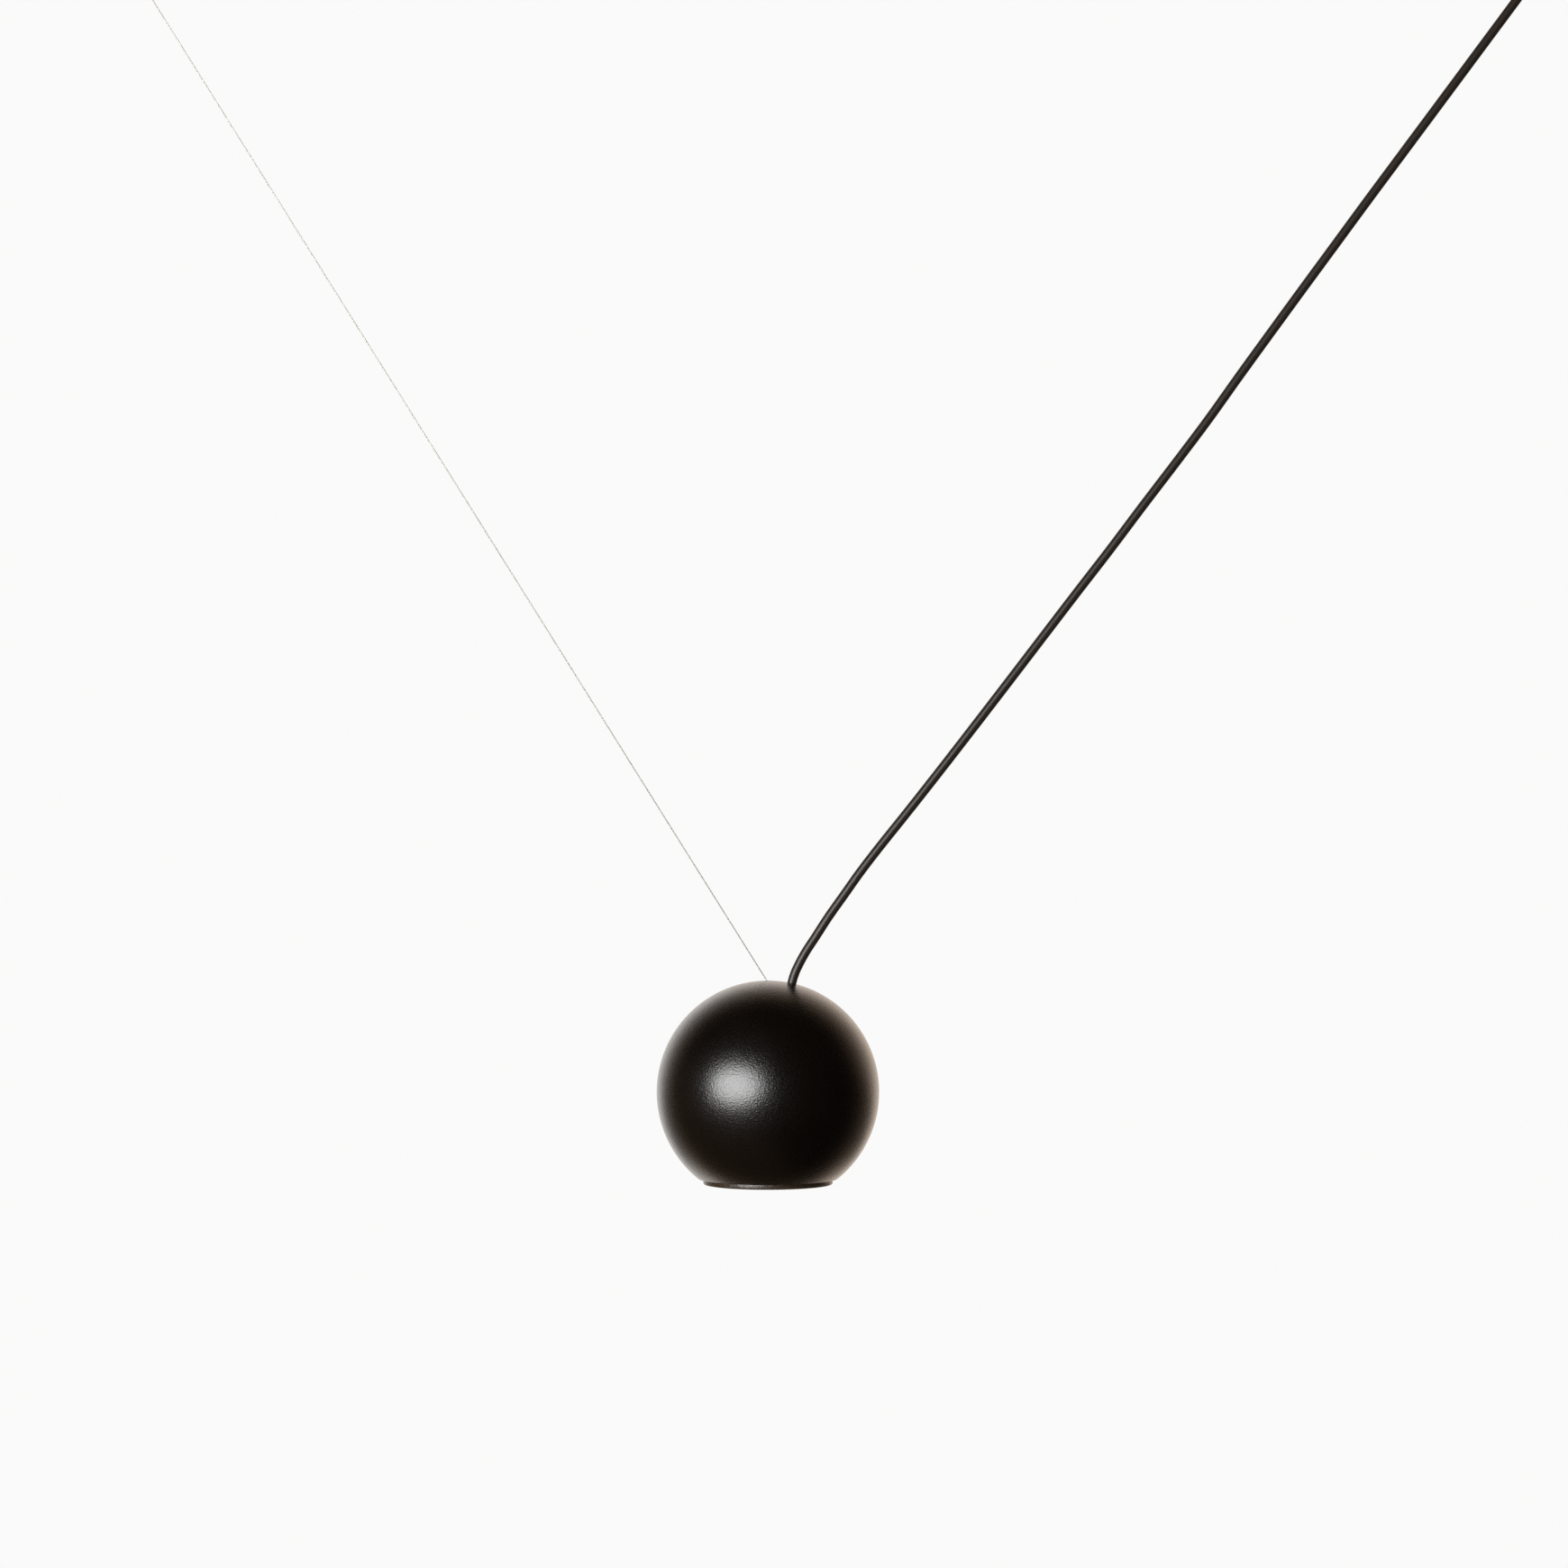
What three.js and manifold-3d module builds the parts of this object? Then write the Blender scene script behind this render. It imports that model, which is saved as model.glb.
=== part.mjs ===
// A ball pendant light hung in a V: a thin steel wire carries the ball from one side,
// and a round black mains cord leaves it on the other side towards a ceiling canopy.
// Millimetres, +Z up. The origin is the centre of the canopy's ceiling face, +X points
// from the wire's ceiling anchor to the canopy, and both lines lie in the plane Y = 0.

import * as THREE from 'three';
import * as BufferGeometryUtils from 'three/addons/utils/BufferGeometryUtils.js';
import Module from 'manifold-3d';

const wasm = await Module();
wasm.setup();

// General fits
const gap = 0.3;
const running = 0.15;
const overrun = 1;

// Where the ball hangs
const ballDrop = 670;
const ballAcross = 425;
const anchorAcross = 359;

// Power cord and its cores
const cordRadius = 2.5;
const coreRadius = 0.75;
const coreSpacing = 1.65;
const cordSides = 8;
const cordSteps = 56;
const coreSides = 6;
const coreSteps = 10;
const coreReach = 5;

// Suspension wire
const wireRadius = 0.3;
const wireBendRadius = 1.5;
const wireSides = 8;
const wireBendSteps = 6;
const wireStub = 1.2;
const wireSteps = 6;

// Ball shade
const ballRadius = 60;
const ballWall = 1.5;
const ballCapHeight = 13.15;
const mouthLand = 5.485;
const wireHoleRadius = 1.25;

// Carrier inside the ball's top
const carrierInset = 3;
const carrierRise = 12;
const carrierScrewInset = 6.5;
const carrierScrewDepth = 5;

// Wire nipple
const nippleRadius = 2.3;
const nippleHeight = 3.4;

// Cord clamp under the carrier
const clampWidth = 8.5;
const clampLength = 18;
const clampHeight = 4;
const clampScrewAcross = 6.2;
const sheathBelowClamp = 1.5;

// Machine screws
const screwRadius = 1.4;
const screwHeadRadius = 2.6;
const screwHeadHeight = 1.8;
const screwSlotWidth = 0.6;
const screwSlotDepth = 0.7;

// Lamp bracket
const strapWidth = 12;
const strapThickness = 1.5;
const strapSpan = 46;
const strapFoot = 9;
const strapDropShare = 0.35;

// Terminal blocks
const blockLength = 26;
const blockWidth = 12;
const blockHeight = 13;
const blockEntryDepth = 9;
const blockEntryLength = 3;
const blockGroove = 2;
const blockGrooveDepth = 3;
const blockWayPitch = 8.5;
const blockScrewRadius = 1.6;
const blockScrewSink = 2;
const blockScrewRise = 0.8;
const blockScrewInset = 2.9;
const ballBlockAcross = -5;

// Lampholder
const holderFlangeThickness = 2;
const holderScrewInset = 4.5;
const holderRadius = 14;
const holderCapHeight = 5;
const holderCoreAcross = 11;
const holderCoreApart = 5;
const holderCoreDepth = 3;
const holderBodyHeight = 10.7;
const contactInset = 0.9;

// Twist-lock lamp
const pinPitchRadius = 5;
const pinNeckRadius = 1.5;
const pinNeckHeight = 3.5;
const pinHeadRadius = 2.4;
const pinHeadHeight = 4;
const pinPlay = 0.4;
const lampTurn = THREE.MathUtils.degToRad(20);
const lampBaseRadius = 9.5;
const lampBaseNeck = 4;
const lampBaseTaper = 7;
const lampBodyRadius = 15;
const lampPlay = 0.9;
const lampSetBack = 10.4;
const lampRimHeight = 3.5;
const lampWall = 1.3;
const lensThickness = 2;
const lensLedge = 1.8;
const lensRecess = 0.2;
const boardThickness = 1.6;
const boardPlay = 0.5;
const chipSize = 2.4;
const chipHeight = 0.8;
const chipRing = 8;
const chipCount = 6;

// Trim ring and glare baffle
const trimBrim = 2.9;
const trimHeight = 2.95;
const trimCorner = 0.9;
const trimSleeveWall = 1.9;
const trimSleeveHeight = 6.4;
const trimLugReach = 2.3;
const trimLugHeight = 1.6;
const trimLugAngle = THREE.MathUtils.degToRad(18);
const trimNotchPlay = THREE.MathUtils.degToRad(4);
const trimTurn = THREE.MathUtils.degToRad(30);
const baffleHeight = 10.6;
const baffleInset = 0.6;
const baffleSteps = 3;
const baffleTopReach = 3.6;
const baffleBottomReach = 1.2;
const baffleTooth = 0.5;

// Ceiling canopy
const canopyRadius = 45;
const canopyWall = 1.2;
const canopyHeight = 26;
const canopyCorner = 4;
const canopyRimGap = 0.5;
const canopyPlay = 1.6;
const lipReach = 3.3;
const lipHeight = 1.6;

// Canopy plate
const plateThickness = 2;
const plateSkirtDepth = 8;
const plateSkirtWall = 1.5;
const plateLugReach = 3.2;
const plateLugHeight = 1.6;
const bayonetAngle = THREE.MathUtils.degToRad(24);
const entryRadius = 7;
const entryAcross = 19;
const fixingSlotRadius = 2.2;
const fixingSlotLength = 8;
const fixingInset = 12;
const canopyBlockAcross = -15;
const earthScrewAcross = 14;
const earthScrewBack = 20;
const earthWasherRadius = 4;
const earthWasherThickness = 0.8;

// Cord gland in the canopy's floor
const glandThreadRadius = 5;
const glandThreadLength = 6.5;
const glandFlangeRadius = 8;
const glandFlangeHeight = 3;
const glandNoseHeight = 4;
const glandNutFlats = 14;
const glandNutHeight = 3.5;
const glandCapWall = 1.7;
const glandCapHeight = 8.7;
const glandCapMouth = 2.2;
const collarTaper = 0.8;
const sheathAboveGland = 3.5;

// Ceiling anchor of the wire
const anchorRadius = 17;
const anchorThickness = 4;
const anchorChamfer = 1;
const anchorSpigotRadius = 6.5;
const anchorSpigotLength = 22;
const anchorSpigotBore = 3.6;
const anchorScrewHole = 2.2;
const anchorFloor = 3;
const socketRadius = 8.7;
const socketLip = 0.8;
const socketNoseRise = 1.5;
const ballStudRadius = 5;
const ballStudDrop = 38;
const socketMouthAngle = THREE.MathUtils.degToRad(56);

// Wire gripper
const gripperRadius = 6;
const gripperLength = 24;
const gripperBore = 4.4;
const gripperBoreLength = 12;
const gripperConeLength = 8;
const gripperMouthRadius = 2.6;
const neckRadius = 1.2;
const neckLength = 5;
const studCapHeight = 3;
const studSpigotRadius = 4;
const studSpigotLength = 4;
const wireBore = 0.6;
const gripBallRadius = 1.3;
const gripBallPlay = 0.15;
const gripWasherThickness = 0.8;
const springWall = 0.8;
const plungerHeadRadius = 3.4;
const plungerHeadHeight = 2.5;
const plungerTravel = 2;
const plungerStandOff = 0.5;

// Facets of round pieces
const fineFacets = 36;
const roundFacets = 20;
const smallFacets = 10;
const tinyFacets = 8;
const upperRings = 9;
const lowerRings = 5;
const innerRings = 14;
const studRings = 7;
const cornerRings = 3;
const sectorSteps = 3;
const mergeDistance = 0.001;
const crease = THREE.MathUtils.degToRad(35);

// Route of the power cord's free stretch, as shares of the way across and of the way up from
// its bore in the ball to the gland. It leaves the ball along the bore beside the top, runs up
// to the right nearly straight and turns upright into the gland in the canopy.
const cordRouteShares = [
  [0, 0], [0.00123, 0.00393], [0.0028, 0.00827], [0.00571, 0.01402], [0.0102, 0.0208],
  [0.01505, 0.02741], [0.02183, 0.03559], [0.03056, 0.04498], [0.04874, 0.06516],
  [0.06886, 0.08551], [0.08874, 0.10569], [0.11032, 0.12604], [0.15541, 0.16658],
  [0.19977, 0.20711], [0.24365, 0.24781], [0.28704, 0.28834], [0.33019, 0.32888],
  [0.37359, 0.36958], [0.41722, 0.41011], [0.45989, 0.45082], [0.50304, 0.49135],
  [0.54546, 0.53188], [0.58595, 0.57259], [0.62691, 0.61312], [0.66813, 0.65365],
  [0.70982, 0.69436], [0.75128, 0.73489], [0.79322, 0.77542], [0.8354, 0.81613],
  [0.87734, 0.85666], [0.91927, 0.89719], [0.94861, 0.92555], [0.96849, 0.94486],
  [0.98788, 0.96347], [0.99455, 0.97147], [0.99855, 0.98017], [1, 0.98939], [1, 0.99461],
  [1, 1],
];

// Heights and places worked out from the sizes above
const plateRadius = canopyRadius - canopyWall - canopyPlay - plateLugReach;
const plateDepth = plateThickness + plateSkirtDepth;
const fixingAcross = plateRadius - fixingInset;
const plateLugTop = plateLugHeight - plateDepth;
const canopyFloorTop = canopyWall - canopyHeight;
const glandThreadTop = canopyFloorTop + glandThreadLength;
const glandFlangeBottom = -canopyHeight - glandFlangeHeight;
const glandNoseBottom = glandFlangeBottom - glandNoseHeight;
const glandMouth = glandFlangeBottom - gap - glandCapHeight;
const sheathTop = glandThreadTop + sheathAboveGland;
const cordBore = cordRadius + gap;
const coreBore = coreRadius + gap;

const ballCutDepth = ballRadius - ballCapHeight;
const mouthRadius = Math.sqrt(ballRadius ** 2 - ballCutDepth ** 2) - mouthLand;
const mouthTop = ballWall - ballCutDepth;
const sleeveRadius = mouthRadius - gap;
const sleeveBore = sleeveRadius - trimSleeveWall;
const trimRadius = mouthRadius + trimBrim;
const baffleRadius = sleeveBore - gap;
const baffleTopRadius = baffleRadius - baffleTopReach;
const baffleBottomRadius = baffleRadius - baffleBottomReach;

const carrierFloor = ballRadius - carrierRise;
const holderFlangeRadius = strapSpan / 2;
const carrierRadius = holderFlangeRadius - carrierInset;
const carrierScrewAcross = holderFlangeRadius - carrierScrewInset;
const holderScrewAcross = holderFlangeRadius - holderScrewInset;
const strapSeat = carrierFloor - strapThickness;
const holderTop = carrierFloor - ballRadius * strapDropShare;
const flangeBottom = holderTop - holderFlangeThickness;
const holderCapBottom = flangeBottom - holderCapHeight;
const holderBottom = holderCapBottom - holderBodyHeight;
const lampTop = holderBottom - gap;
const pinTop = lampTop + pinNeckHeight + pinHeadHeight;
const lampBaseBottom = lampTop - lampBaseNeck - lampBaseTaper;
const lampFace = lampSetBack - ballCutDepth;
const lampRimTop = lampFace + lampRimHeight;
const lampRimRadius = baffleTopRadius - lampPlay;

const clampInner = strapWidth / 2 + gap;
const clampMiddle = clampInner + clampWidth / 2;
const clampBottom = carrierFloor - clampHeight;
const cordHoleAngle = Math.atan2(clampMiddle, carrierFloor);
const cordStart = ballRadius - ballWall - gap;
const sheathStart = cordStart - gap;
const sheathEnd = clampBottom / Math.cos(cordHoleAngle) - sheathBelowClamp;

// The wire leans along the line that touches its bend at the ball and meets the pivot
const wireBendStart = ballRadius - ballWall;
const pivotRise = ballDrop - ballStudDrop - wireBendStart;
const pivotReach = anchorAcross - wireBendRadius;
const pivotDistance = Math.hypot(pivotReach, pivotRise);
const wireLean = Math.atan2(pivotReach, pivotRise) + Math.asin(wireBendRadius / pivotDistance);
const wireLine = Math.sqrt(pivotDistance ** 2 - wireBendRadius ** 2);

// Heights inside the gripper, down its own axis from the ball stud's centre
const studCapTop = -ballStudRadius - neckLength;
const barrelTop = studCapTop - studCapHeight;
const studEnd = barrelTop - studSpigotLength;
const coneTop = barrelTop - gripperBoreLength;
const coneBottom = coneTop - gripperConeLength;
const barrelBottom = barrelTop - gripperLength;
const coneSlope = (gripperBore - gripperMouthRadius) / gripperConeLength;
const gripBallRing = wireRadius + gripBallPlay + gripBallRadius;
const gripBallReach = (gripBallRadius + gripBallPlay) * Math.hypot(coneSlope, 1);
const gripBallHeight = coneBottom + (gripBallRing + gripBallReach - gripperMouthRadius) / coneSlope;
const washerBottom = gripBallHeight + gripBallRadius + gripBallPlay;
const washerTop = washerBottom + gripWasherThickness;
const washerRadius = gripperMouthRadius + coneSlope * (washerBottom - coneBottom) - gap;
const plungerRadius = gripperMouthRadius - running;
const plungerTop = gripBallHeight - gripBallRadius - gripBallPlay;
const plungerHeadTop = barrelBottom - plungerTravel - plungerStandOff;
const plungerTip = plungerHeadTop - plungerHeadHeight;

// Finishes
function finish(color, roughness, metalness) {
  return new THREE.MeshStandardMaterial({ color, roughness, metalness });
}

const blackPaint = finish(0x17120f, 0.42, 0.1);
const blackTrim = finish(0x14110f, 0.5, 0.05);
const cordSheath = finish(0x221f1d, 0.38, 0);
const steel = finish(0xb9b7b2, 0.3, 0.9);
const brass = finish(0xc8a35a, 0.35, 0.85);
const aluminium = finish(0xc4c6c8, 0.4, 0.8);
const nylon = finish(0xe6e3d8, 0.55, 0);
const blackNylon = finish(0x1c1c1d, 0.55, 0);
const ceramic = finish(0xe9e4d6, 0.35, 0);
const lampPlastic = finish(0xe9e9e7, 0.4, 0);
const lensPlastic = finish(0xf3f1ea, 0.2, 0);
const coreBrown = finish(0x5a3420, 0.5, 0);
const coreEarth = finish(0x6f9a2e, 0.5, 0);
const coreBlue = finish(0x2f5fa8, 0.5, 0);

// Shapes: closed bodies with shared vertices and faces that point out
function volumeOf(place, index) {
  const a = new THREE.Vector3();
  const b = new THREE.Vector3();
  const c = new THREE.Vector3();
  let sum = 0;
  for (let i = 0; i < index.length; i += 3) {
    a.fromBufferAttribute(place, index[i]);
    b.fromBufferAttribute(place, index[i + 1]);
    c.fromBufferAttribute(place, index[i + 2]);
    sum += a.dot(b.cross(c));
  }
  return sum;
}

function closed(shape) {
  shape.deleteAttribute('normal');
  shape.deleteAttribute('uv');
  const merged = BufferGeometryUtils.mergeVertices(shape, mergeDistance);
  const index = merged.getIndex().array;
  const kept = [];
  for (let i = 0; i < index.length; i += 3) {
    const [a, b, c] = index.slice(i, i + 3);
    if (a !== b && b !== c && c !== a) kept.push(a, b, c);
  }
  if (volumeOf(merged.getAttribute('position'), kept) < 0) kept.reverse();
  merged.setIndex(kept);
  return merged;
}

function solid(shape) {
  return new wasm.Manifold(new wasm.Mesh({
    numProp: 3,
    vertProperties: shape.getAttribute('position').array,
    triVerts: Uint32Array.from(shape.getIndex().array),
  }));
}

function shapeOf(body) {
  const mesh = body.getMesh();
  const shape = new THREE.BufferGeometry();
  shape.setAttribute('position', new THREE.BufferAttribute(mesh.vertProperties, 3));
  shape.setIndex(new THREE.BufferAttribute(mesh.triVerts, 1));
  return shape;
}

function joined(first, ...others) {
  return shapeOf(others.reduce((body, other) => body.add(solid(other)), solid(first)));
}

function cut(first, ...tools) {
  return shapeOf(tools.reduce((body, tool) => body.subtract(solid(tool)), solid(first)));
}

// A profile of [radius, height] points turned about the upright axis
function turned(profile, facets = roundFacets) {
  const points = profile.map(([radius, height]) => new THREE.Vector2(radius, height));
  const shape = new THREE.LatheGeometry(points, facets);
  return closed(shape.rotateX(Math.PI / 2));
}

function rod(radius, low, high, facets = smallFacets) {
  return turned([[0, low], [radius, low], [radius, high], [0, high]], facets);
}

function ring(bore, radius, low, high, facets = roundFacets) {
  return turned([[bore, low], [radius, low], [radius, high], [bore, high], [bore, low]], facets);
}

// Points of an arc in a profile, by angles from the upright axis
function arc(radius, from, to, steps, across = 0, up = 0) {
  return Array.from({ length: steps + 1 }, (_, step) => {
    const angle = from + (to - from) * step / steps;
    return [across + radius * Math.sin(angle), up + radius * Math.cos(angle)];
  });
}

function slab(low, high) {
  const size = high.map((value, axis) => value - low[axis]);
  const middle = high.map((value, axis) => (value + low[axis]) / 2);
  return closed(new THREE.BoxGeometry(...size).translate(...middle));
}

// A slice of a ring, centred on an angle
function sector(bore, radius, angle, width, low, high) {
  const start = angle - width / 2;
  const outline = new THREE.Shape();
  outline.absarc(0, 0, radius, start, start + width, false);
  outline.absarc(0, 0, bore, start + width, start, true);
  const extrusion = { depth: high - low, bevelEnabled: false, curveSegments: sectorSteps };
  return closed(new THREE.ExtrudeGeometry(outline, extrusion).translate(0, 0, low));
}

function polygon(radius, sides) {
  return Array.from({ length: sides }, (_, side) => {
    const angle = 2 * Math.PI * side / sides;
    return new THREE.Vector2(radius * Math.cos(angle), radius * Math.sin(angle));
  });
}

function hexagon(flats, bore, low, high) {
  const outline = new THREE.Shape(polygon(flats / Math.sqrt(3), 6));
  const extrusion = { depth: high - low, bevelEnabled: false };
  const nut = closed(new THREE.ExtrudeGeometry(outline, extrusion).translate(0, 0, low));
  return cut(nut, rod(bore, low - overrun, high + overrun));
}

function swept(path, radius, sides, steps) {
  const outline = new THREE.Shape(polygon(radius, sides));
  const extrusion = { steps, extrudePath: path, bevelEnabled: false };
  return closed(new THREE.ExtrudeGeometry(outline, extrusion));
}

// A pan-head screw whose head's seat is at height 0, with its shank pointing up
function screw(length) {
  const half = screwSlotWidth / 2;
  const floor = screwSlotDepth - screwHeadHeight;
  const blank = turned([
    [0, length], [screwRadius, length], [screwRadius, 0], [screwHeadRadius, 0],
    [screwHeadRadius, floor], [screwHeadRadius - screwSlotDepth, -screwHeadHeight],
    [0, -screwHeadHeight],
  ], smallFacets);
  const reach = screwHeadRadius + overrun;
  const slot = slab([-reach, -half, -screwHeadHeight - overrun], [reach, half, floor]);
  return cut(blank, slot);
}

function piece(parent, name, shape, material) {
  const mesh = new THREE.Mesh(BufferGeometryUtils.toCreasedNormals(shape, crease), material);
  mesh.name = name;
  parent.add(mesh);
}

function group(parent, x, y, z) {
  const part = new THREE.Group();
  part.position.set(x, y, z);
  parent.add(part);
  return part;
}

// The same shape at a place on the back and on the front, as two pieces of a pair
function pair(parent, name, shape, [x, y, z], material) {
  piece(parent, `${name}_back`, shape.clone().translate(x, y, z), material);
  piece(parent, `${name}_front`, shape.clone().translate(x, -y, z), material);
}

function point(x, y, z) {
  return new THREE.Vector3(x, y, z);
}

const light = new THREE.Group();
const canopy = group(light, 0, 0, 0);
const anchor = group(light, -ballAcross - anchorAcross, 0, 0);
const gripper = group(light, -ballAcross - anchorAcross, 0, -ballStudDrop);
gripper.rotation.y = -wireLean;
const ball = group(light, -ballAcross, 0, -ballDrop);
const thirds = [0, 1, 2].map((third) => third * 2 * Math.PI / 3);

// A three-way terminal block under a seat at height 0, with its ways along Y
function terminalBlock(parent, name, across, seat) {
  const ways = [-blockWayPitch, 0, blockWayPitch];
  const side = blockWidth / 2;
  const end = blockLength / 2;
  const grooves = [-blockWayPitch, blockWayPitch].map((way) => slab(
    [-side - overrun, way / 2 - blockGroove / 2, -blockHeight - overrun],
    [side + overrun, way / 2 + blockGroove / 2, blockGrooveDepth - blockHeight],
  ));
  const entries = ways.flatMap((way) => [1, -1].map((face) => rod(
    coreBore, side - blockEntryLength, side + overrun, tinyFacets,
  ).rotateY(face * Math.PI / 2).translate(0, way, -blockEntryDepth)));
  const body = slab([-side, -end, -blockHeight], [side, end, 0]);
  const grub = rod(
    blockScrewRadius, -blockHeight - blockScrewRise, blockScrewSink - blockHeight, tinyFacets,
  );
  const screws = ways.flatMap((way) => [blockScrewInset, -blockScrewInset].map((inset) => (
    grub.clone().translate(inset, way, 0)
  )));
  const block = joined(cut(body, ...grooves, ...entries), ...screws);
  piece(parent, `${name}_terminal_block`, block.translate(across, 0, seat), nylon);
}

// A core that runs straight out of one place, bends, and runs straight into a block
function core(from, out, straight, to, into) {
  const path = new THREE.CurvePath();
  const free = from.clone().addScaledVector(out, straight);
  const bend = to.clone().addScaledVector(into, -blockEntryLength);
  path.add(new THREE.LineCurve3(from, free));
  path.add(new THREE.CubicBezierCurve3(
    free,
    free.clone().addScaledVector(out, coreReach),
    bend.clone().addScaledVector(into, -coreReach),
    bend,
  ));
  path.add(new THREE.LineCurve3(bend, to));
  return swept(path, coreRadius, coreSides, coreSteps);
}

function canopyPlate() {
  const lugs = thirds.map((angle) => sector(
    plateRadius - plateSkirtWall / 2, plateRadius + plateLugReach, angle, bayonetAngle,
    -plateDepth, plateLugTop,
  ));
  const pan = turned([
    [0, 0], [plateRadius, 0], [plateRadius, -plateDepth], [plateRadius - plateSkirtWall, -plateDepth],
    [plateRadius - plateSkirtWall, -plateThickness], [0, -plateThickness],
  ], fineFacets);
  const below = -plateThickness - overrun;
  const slots = [fixingAcross, -fixingAcross].flatMap((back) => [
    slab(
      [-fixingSlotLength / 2, back - fixingSlotRadius, below],
      [fixingSlotLength / 2, back + fixingSlotRadius, overrun],
    ),
    rod(fixingSlotRadius, below, overrun).translate(-fixingSlotLength / 2, back, 0),
    rod(fixingSlotRadius, below, overrun).translate(fixingSlotLength / 2, back, 0),
  ]);
  const entry = rod(entryRadius, below, overrun, roundFacets).translate(entryAcross, 0, 0);
  const earthHole = rod(screwRadius + gap, below, overrun).translate(earthScrewAcross, earthScrewBack, 0);
  piece(canopy, 'canopy_plate', cut(joined(pan, ...lugs), entry, earthHole, ...slots), steel);
}

function canopyEarth() {
  const washerBottom = -plateThickness - earthWasherThickness;
  const washer = ring(screwRadius + gap, earthWasherRadius, washerBottom, -plateThickness, smallFacets);
  const bolt = screw(plateThickness + earthWasherThickness - gap).translate(0, 0, washerBottom);
  piece(canopy, 'earth_washer', washer.translate(earthScrewAcross, earthScrewBack, 0), brass);
  piece(canopy, 'earth_screw', bolt.translate(earthScrewAcross, earthScrewBack, 0), brass);
}

function canopyCup() {
  const inner = canopyRadius - canopyWall;
  const hole = glandThreadRadius + gap;
  const corner = canopyCorner - canopyWall;
  const outerArc = arc(
    canopyCorner, Math.PI / 2, Math.PI, cornerRings,
    canopyRadius - canopyCorner, canopyCorner - canopyHeight,
  );
  const innerArc = arc(
    corner, Math.PI, Math.PI / 2, cornerRings,
    canopyRadius - canopyCorner, canopyCorner - canopyHeight,
  );
  const cup = turned([
    [canopyRadius, -canopyRimGap], ...outerArc, [hole, -canopyHeight], [hole, canopyFloorTop],
    ...innerArc, [inner, -canopyRimGap], [canopyRadius, -canopyRimGap],
  ], fineFacets);
  const lipBottom = plateLugTop + gap;
  const lips = thirds.map((angle) => sector(
    inner - lipReach, inner + canopyWall / 2, angle, bayonetAngle, lipBottom, lipBottom + lipHeight,
  ));
  piece(canopy, 'canopy_cup', joined(cup, ...lips), blackPaint);
}

function gland() {
  const capInner = glandFlangeRadius - glandCapWall;
  const nose = capInner - gap;
  const capTop = glandFlangeBottom - gap;
  const capFloor = glandMouth + glandCapMouth;
  const collarBottom = capFloor + gap;
  const collarTop = glandNoseBottom - gap;
  const threadHole = glandThreadRadius + gap;
  piece(canopy, 'gland_body', turned([
    [cordBore, glandNoseBottom], [nose, glandNoseBottom], [nose, glandFlangeBottom],
    [glandFlangeRadius, glandFlangeBottom], [glandFlangeRadius, -canopyHeight],
    [glandThreadRadius, -canopyHeight], [glandThreadRadius, glandThreadTop],
    [cordBore, glandThreadTop], [cordBore, glandNoseBottom],
  ]), blackNylon);
  const nut = hexagon(glandNutFlats, threadHole, canopyFloorTop, canopyFloorTop + glandNutHeight);
  piece(canopy, 'gland_lock_nut', nut, blackNylon);
  piece(canopy, 'gland_collar', turned([
    [cordBore, collarBottom], [nose - collarTaper, collarBottom], [nose, collarTop],
    [cordBore, collarTop], [cordBore, collarBottom],
  ]), nylon);
  piece(canopy, 'gland_cap', turned([
    [cordBore, glandMouth], [glandFlangeRadius - glandCapWall, glandMouth],
    [glandFlangeRadius, glandMouth + glandCapWall], [glandFlangeRadius, capTop],
    [capInner, capTop], [capInner, capFloor], [cordBore, capFloor], [cordBore, glandMouth],
  ]), blackNylon);
}

function canopyWiring() {
  terminalBlock(canopy, 'canopy', canopyBlockAcross, -plateThickness);
  piece(canopy, 'cord_upper_end', rod(cordRadius, glandMouth, sheathTop), cordSheath);
  const cores = [['brown', coreBrown], ['earth', coreEarth], ['blue', coreBlue]];
  const inside = canopyBlockAcross + blockWidth / 2 - blockEntryLength + gap;
  cores.forEach(([colour, material], place) => {
    const lead = core(
      point(0, coreSpacing * (place - 1), sheathTop + gap), point(0, 0, 1), coreRadius,
      point(inside, blockWayPitch * (place - 1), -plateThickness - blockEntryDepth), point(-1, 0, 0),
    );
    piece(canopy, `upper_${colour}_core`, lead, material);
  });
}

function wireAnchor() {
  const spigotEnd = -anchorThickness - anchorSpigotLength;
  const padTop = spigotEnd - gap;
  const padBottom = ballStudRadius + gap - ballStudDrop;
  const seatRadius = ballStudRadius + running;
  const spigotHole = anchorSpigotRadius + gap;
  const nose = seatRadius + socketLip;
  const seat = arc(seatRadius, Math.PI / 2, Math.PI - socketMouthAngle, cornerRings, 0, -ballStudDrop);
  const lip = [nose * Math.sin(socketMouthAngle), -ballStudDrop - nose * Math.cos(socketMouthAngle)];
  const socketTop = -anchorThickness - gap;
  piece(anchor, 'anchor_base', turned([
    [anchorScrewHole, 0], [anchorRadius, 0], [anchorRadius, anchorChamfer - anchorThickness],
    [anchorRadius - anchorChamfer, -anchorThickness], [anchorSpigotRadius, -anchorThickness],
    [anchorSpigotRadius, spigotEnd], [anchorSpigotBore, spigotEnd], [anchorSpigotBore, -anchorFloor],
    [anchorScrewHole, -anchorFloor], [anchorScrewHole, 0],
  ]), blackPaint);
  piece(anchor, 'anchor_pad', rod(ballStudRadius, padBottom, padTop, roundFacets), nylon);
  piece(anchor, 'anchor_socket', turned([
    [spigotHole, socketTop], [socketRadius, socketTop],
    [socketRadius, socketNoseRise - ballStudDrop], lip, ...seat.toReversed(),
    [seatRadius, padTop], [spigotHole, padTop], [spigotHole, socketTop],
  ]), blackPaint);
}

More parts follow.
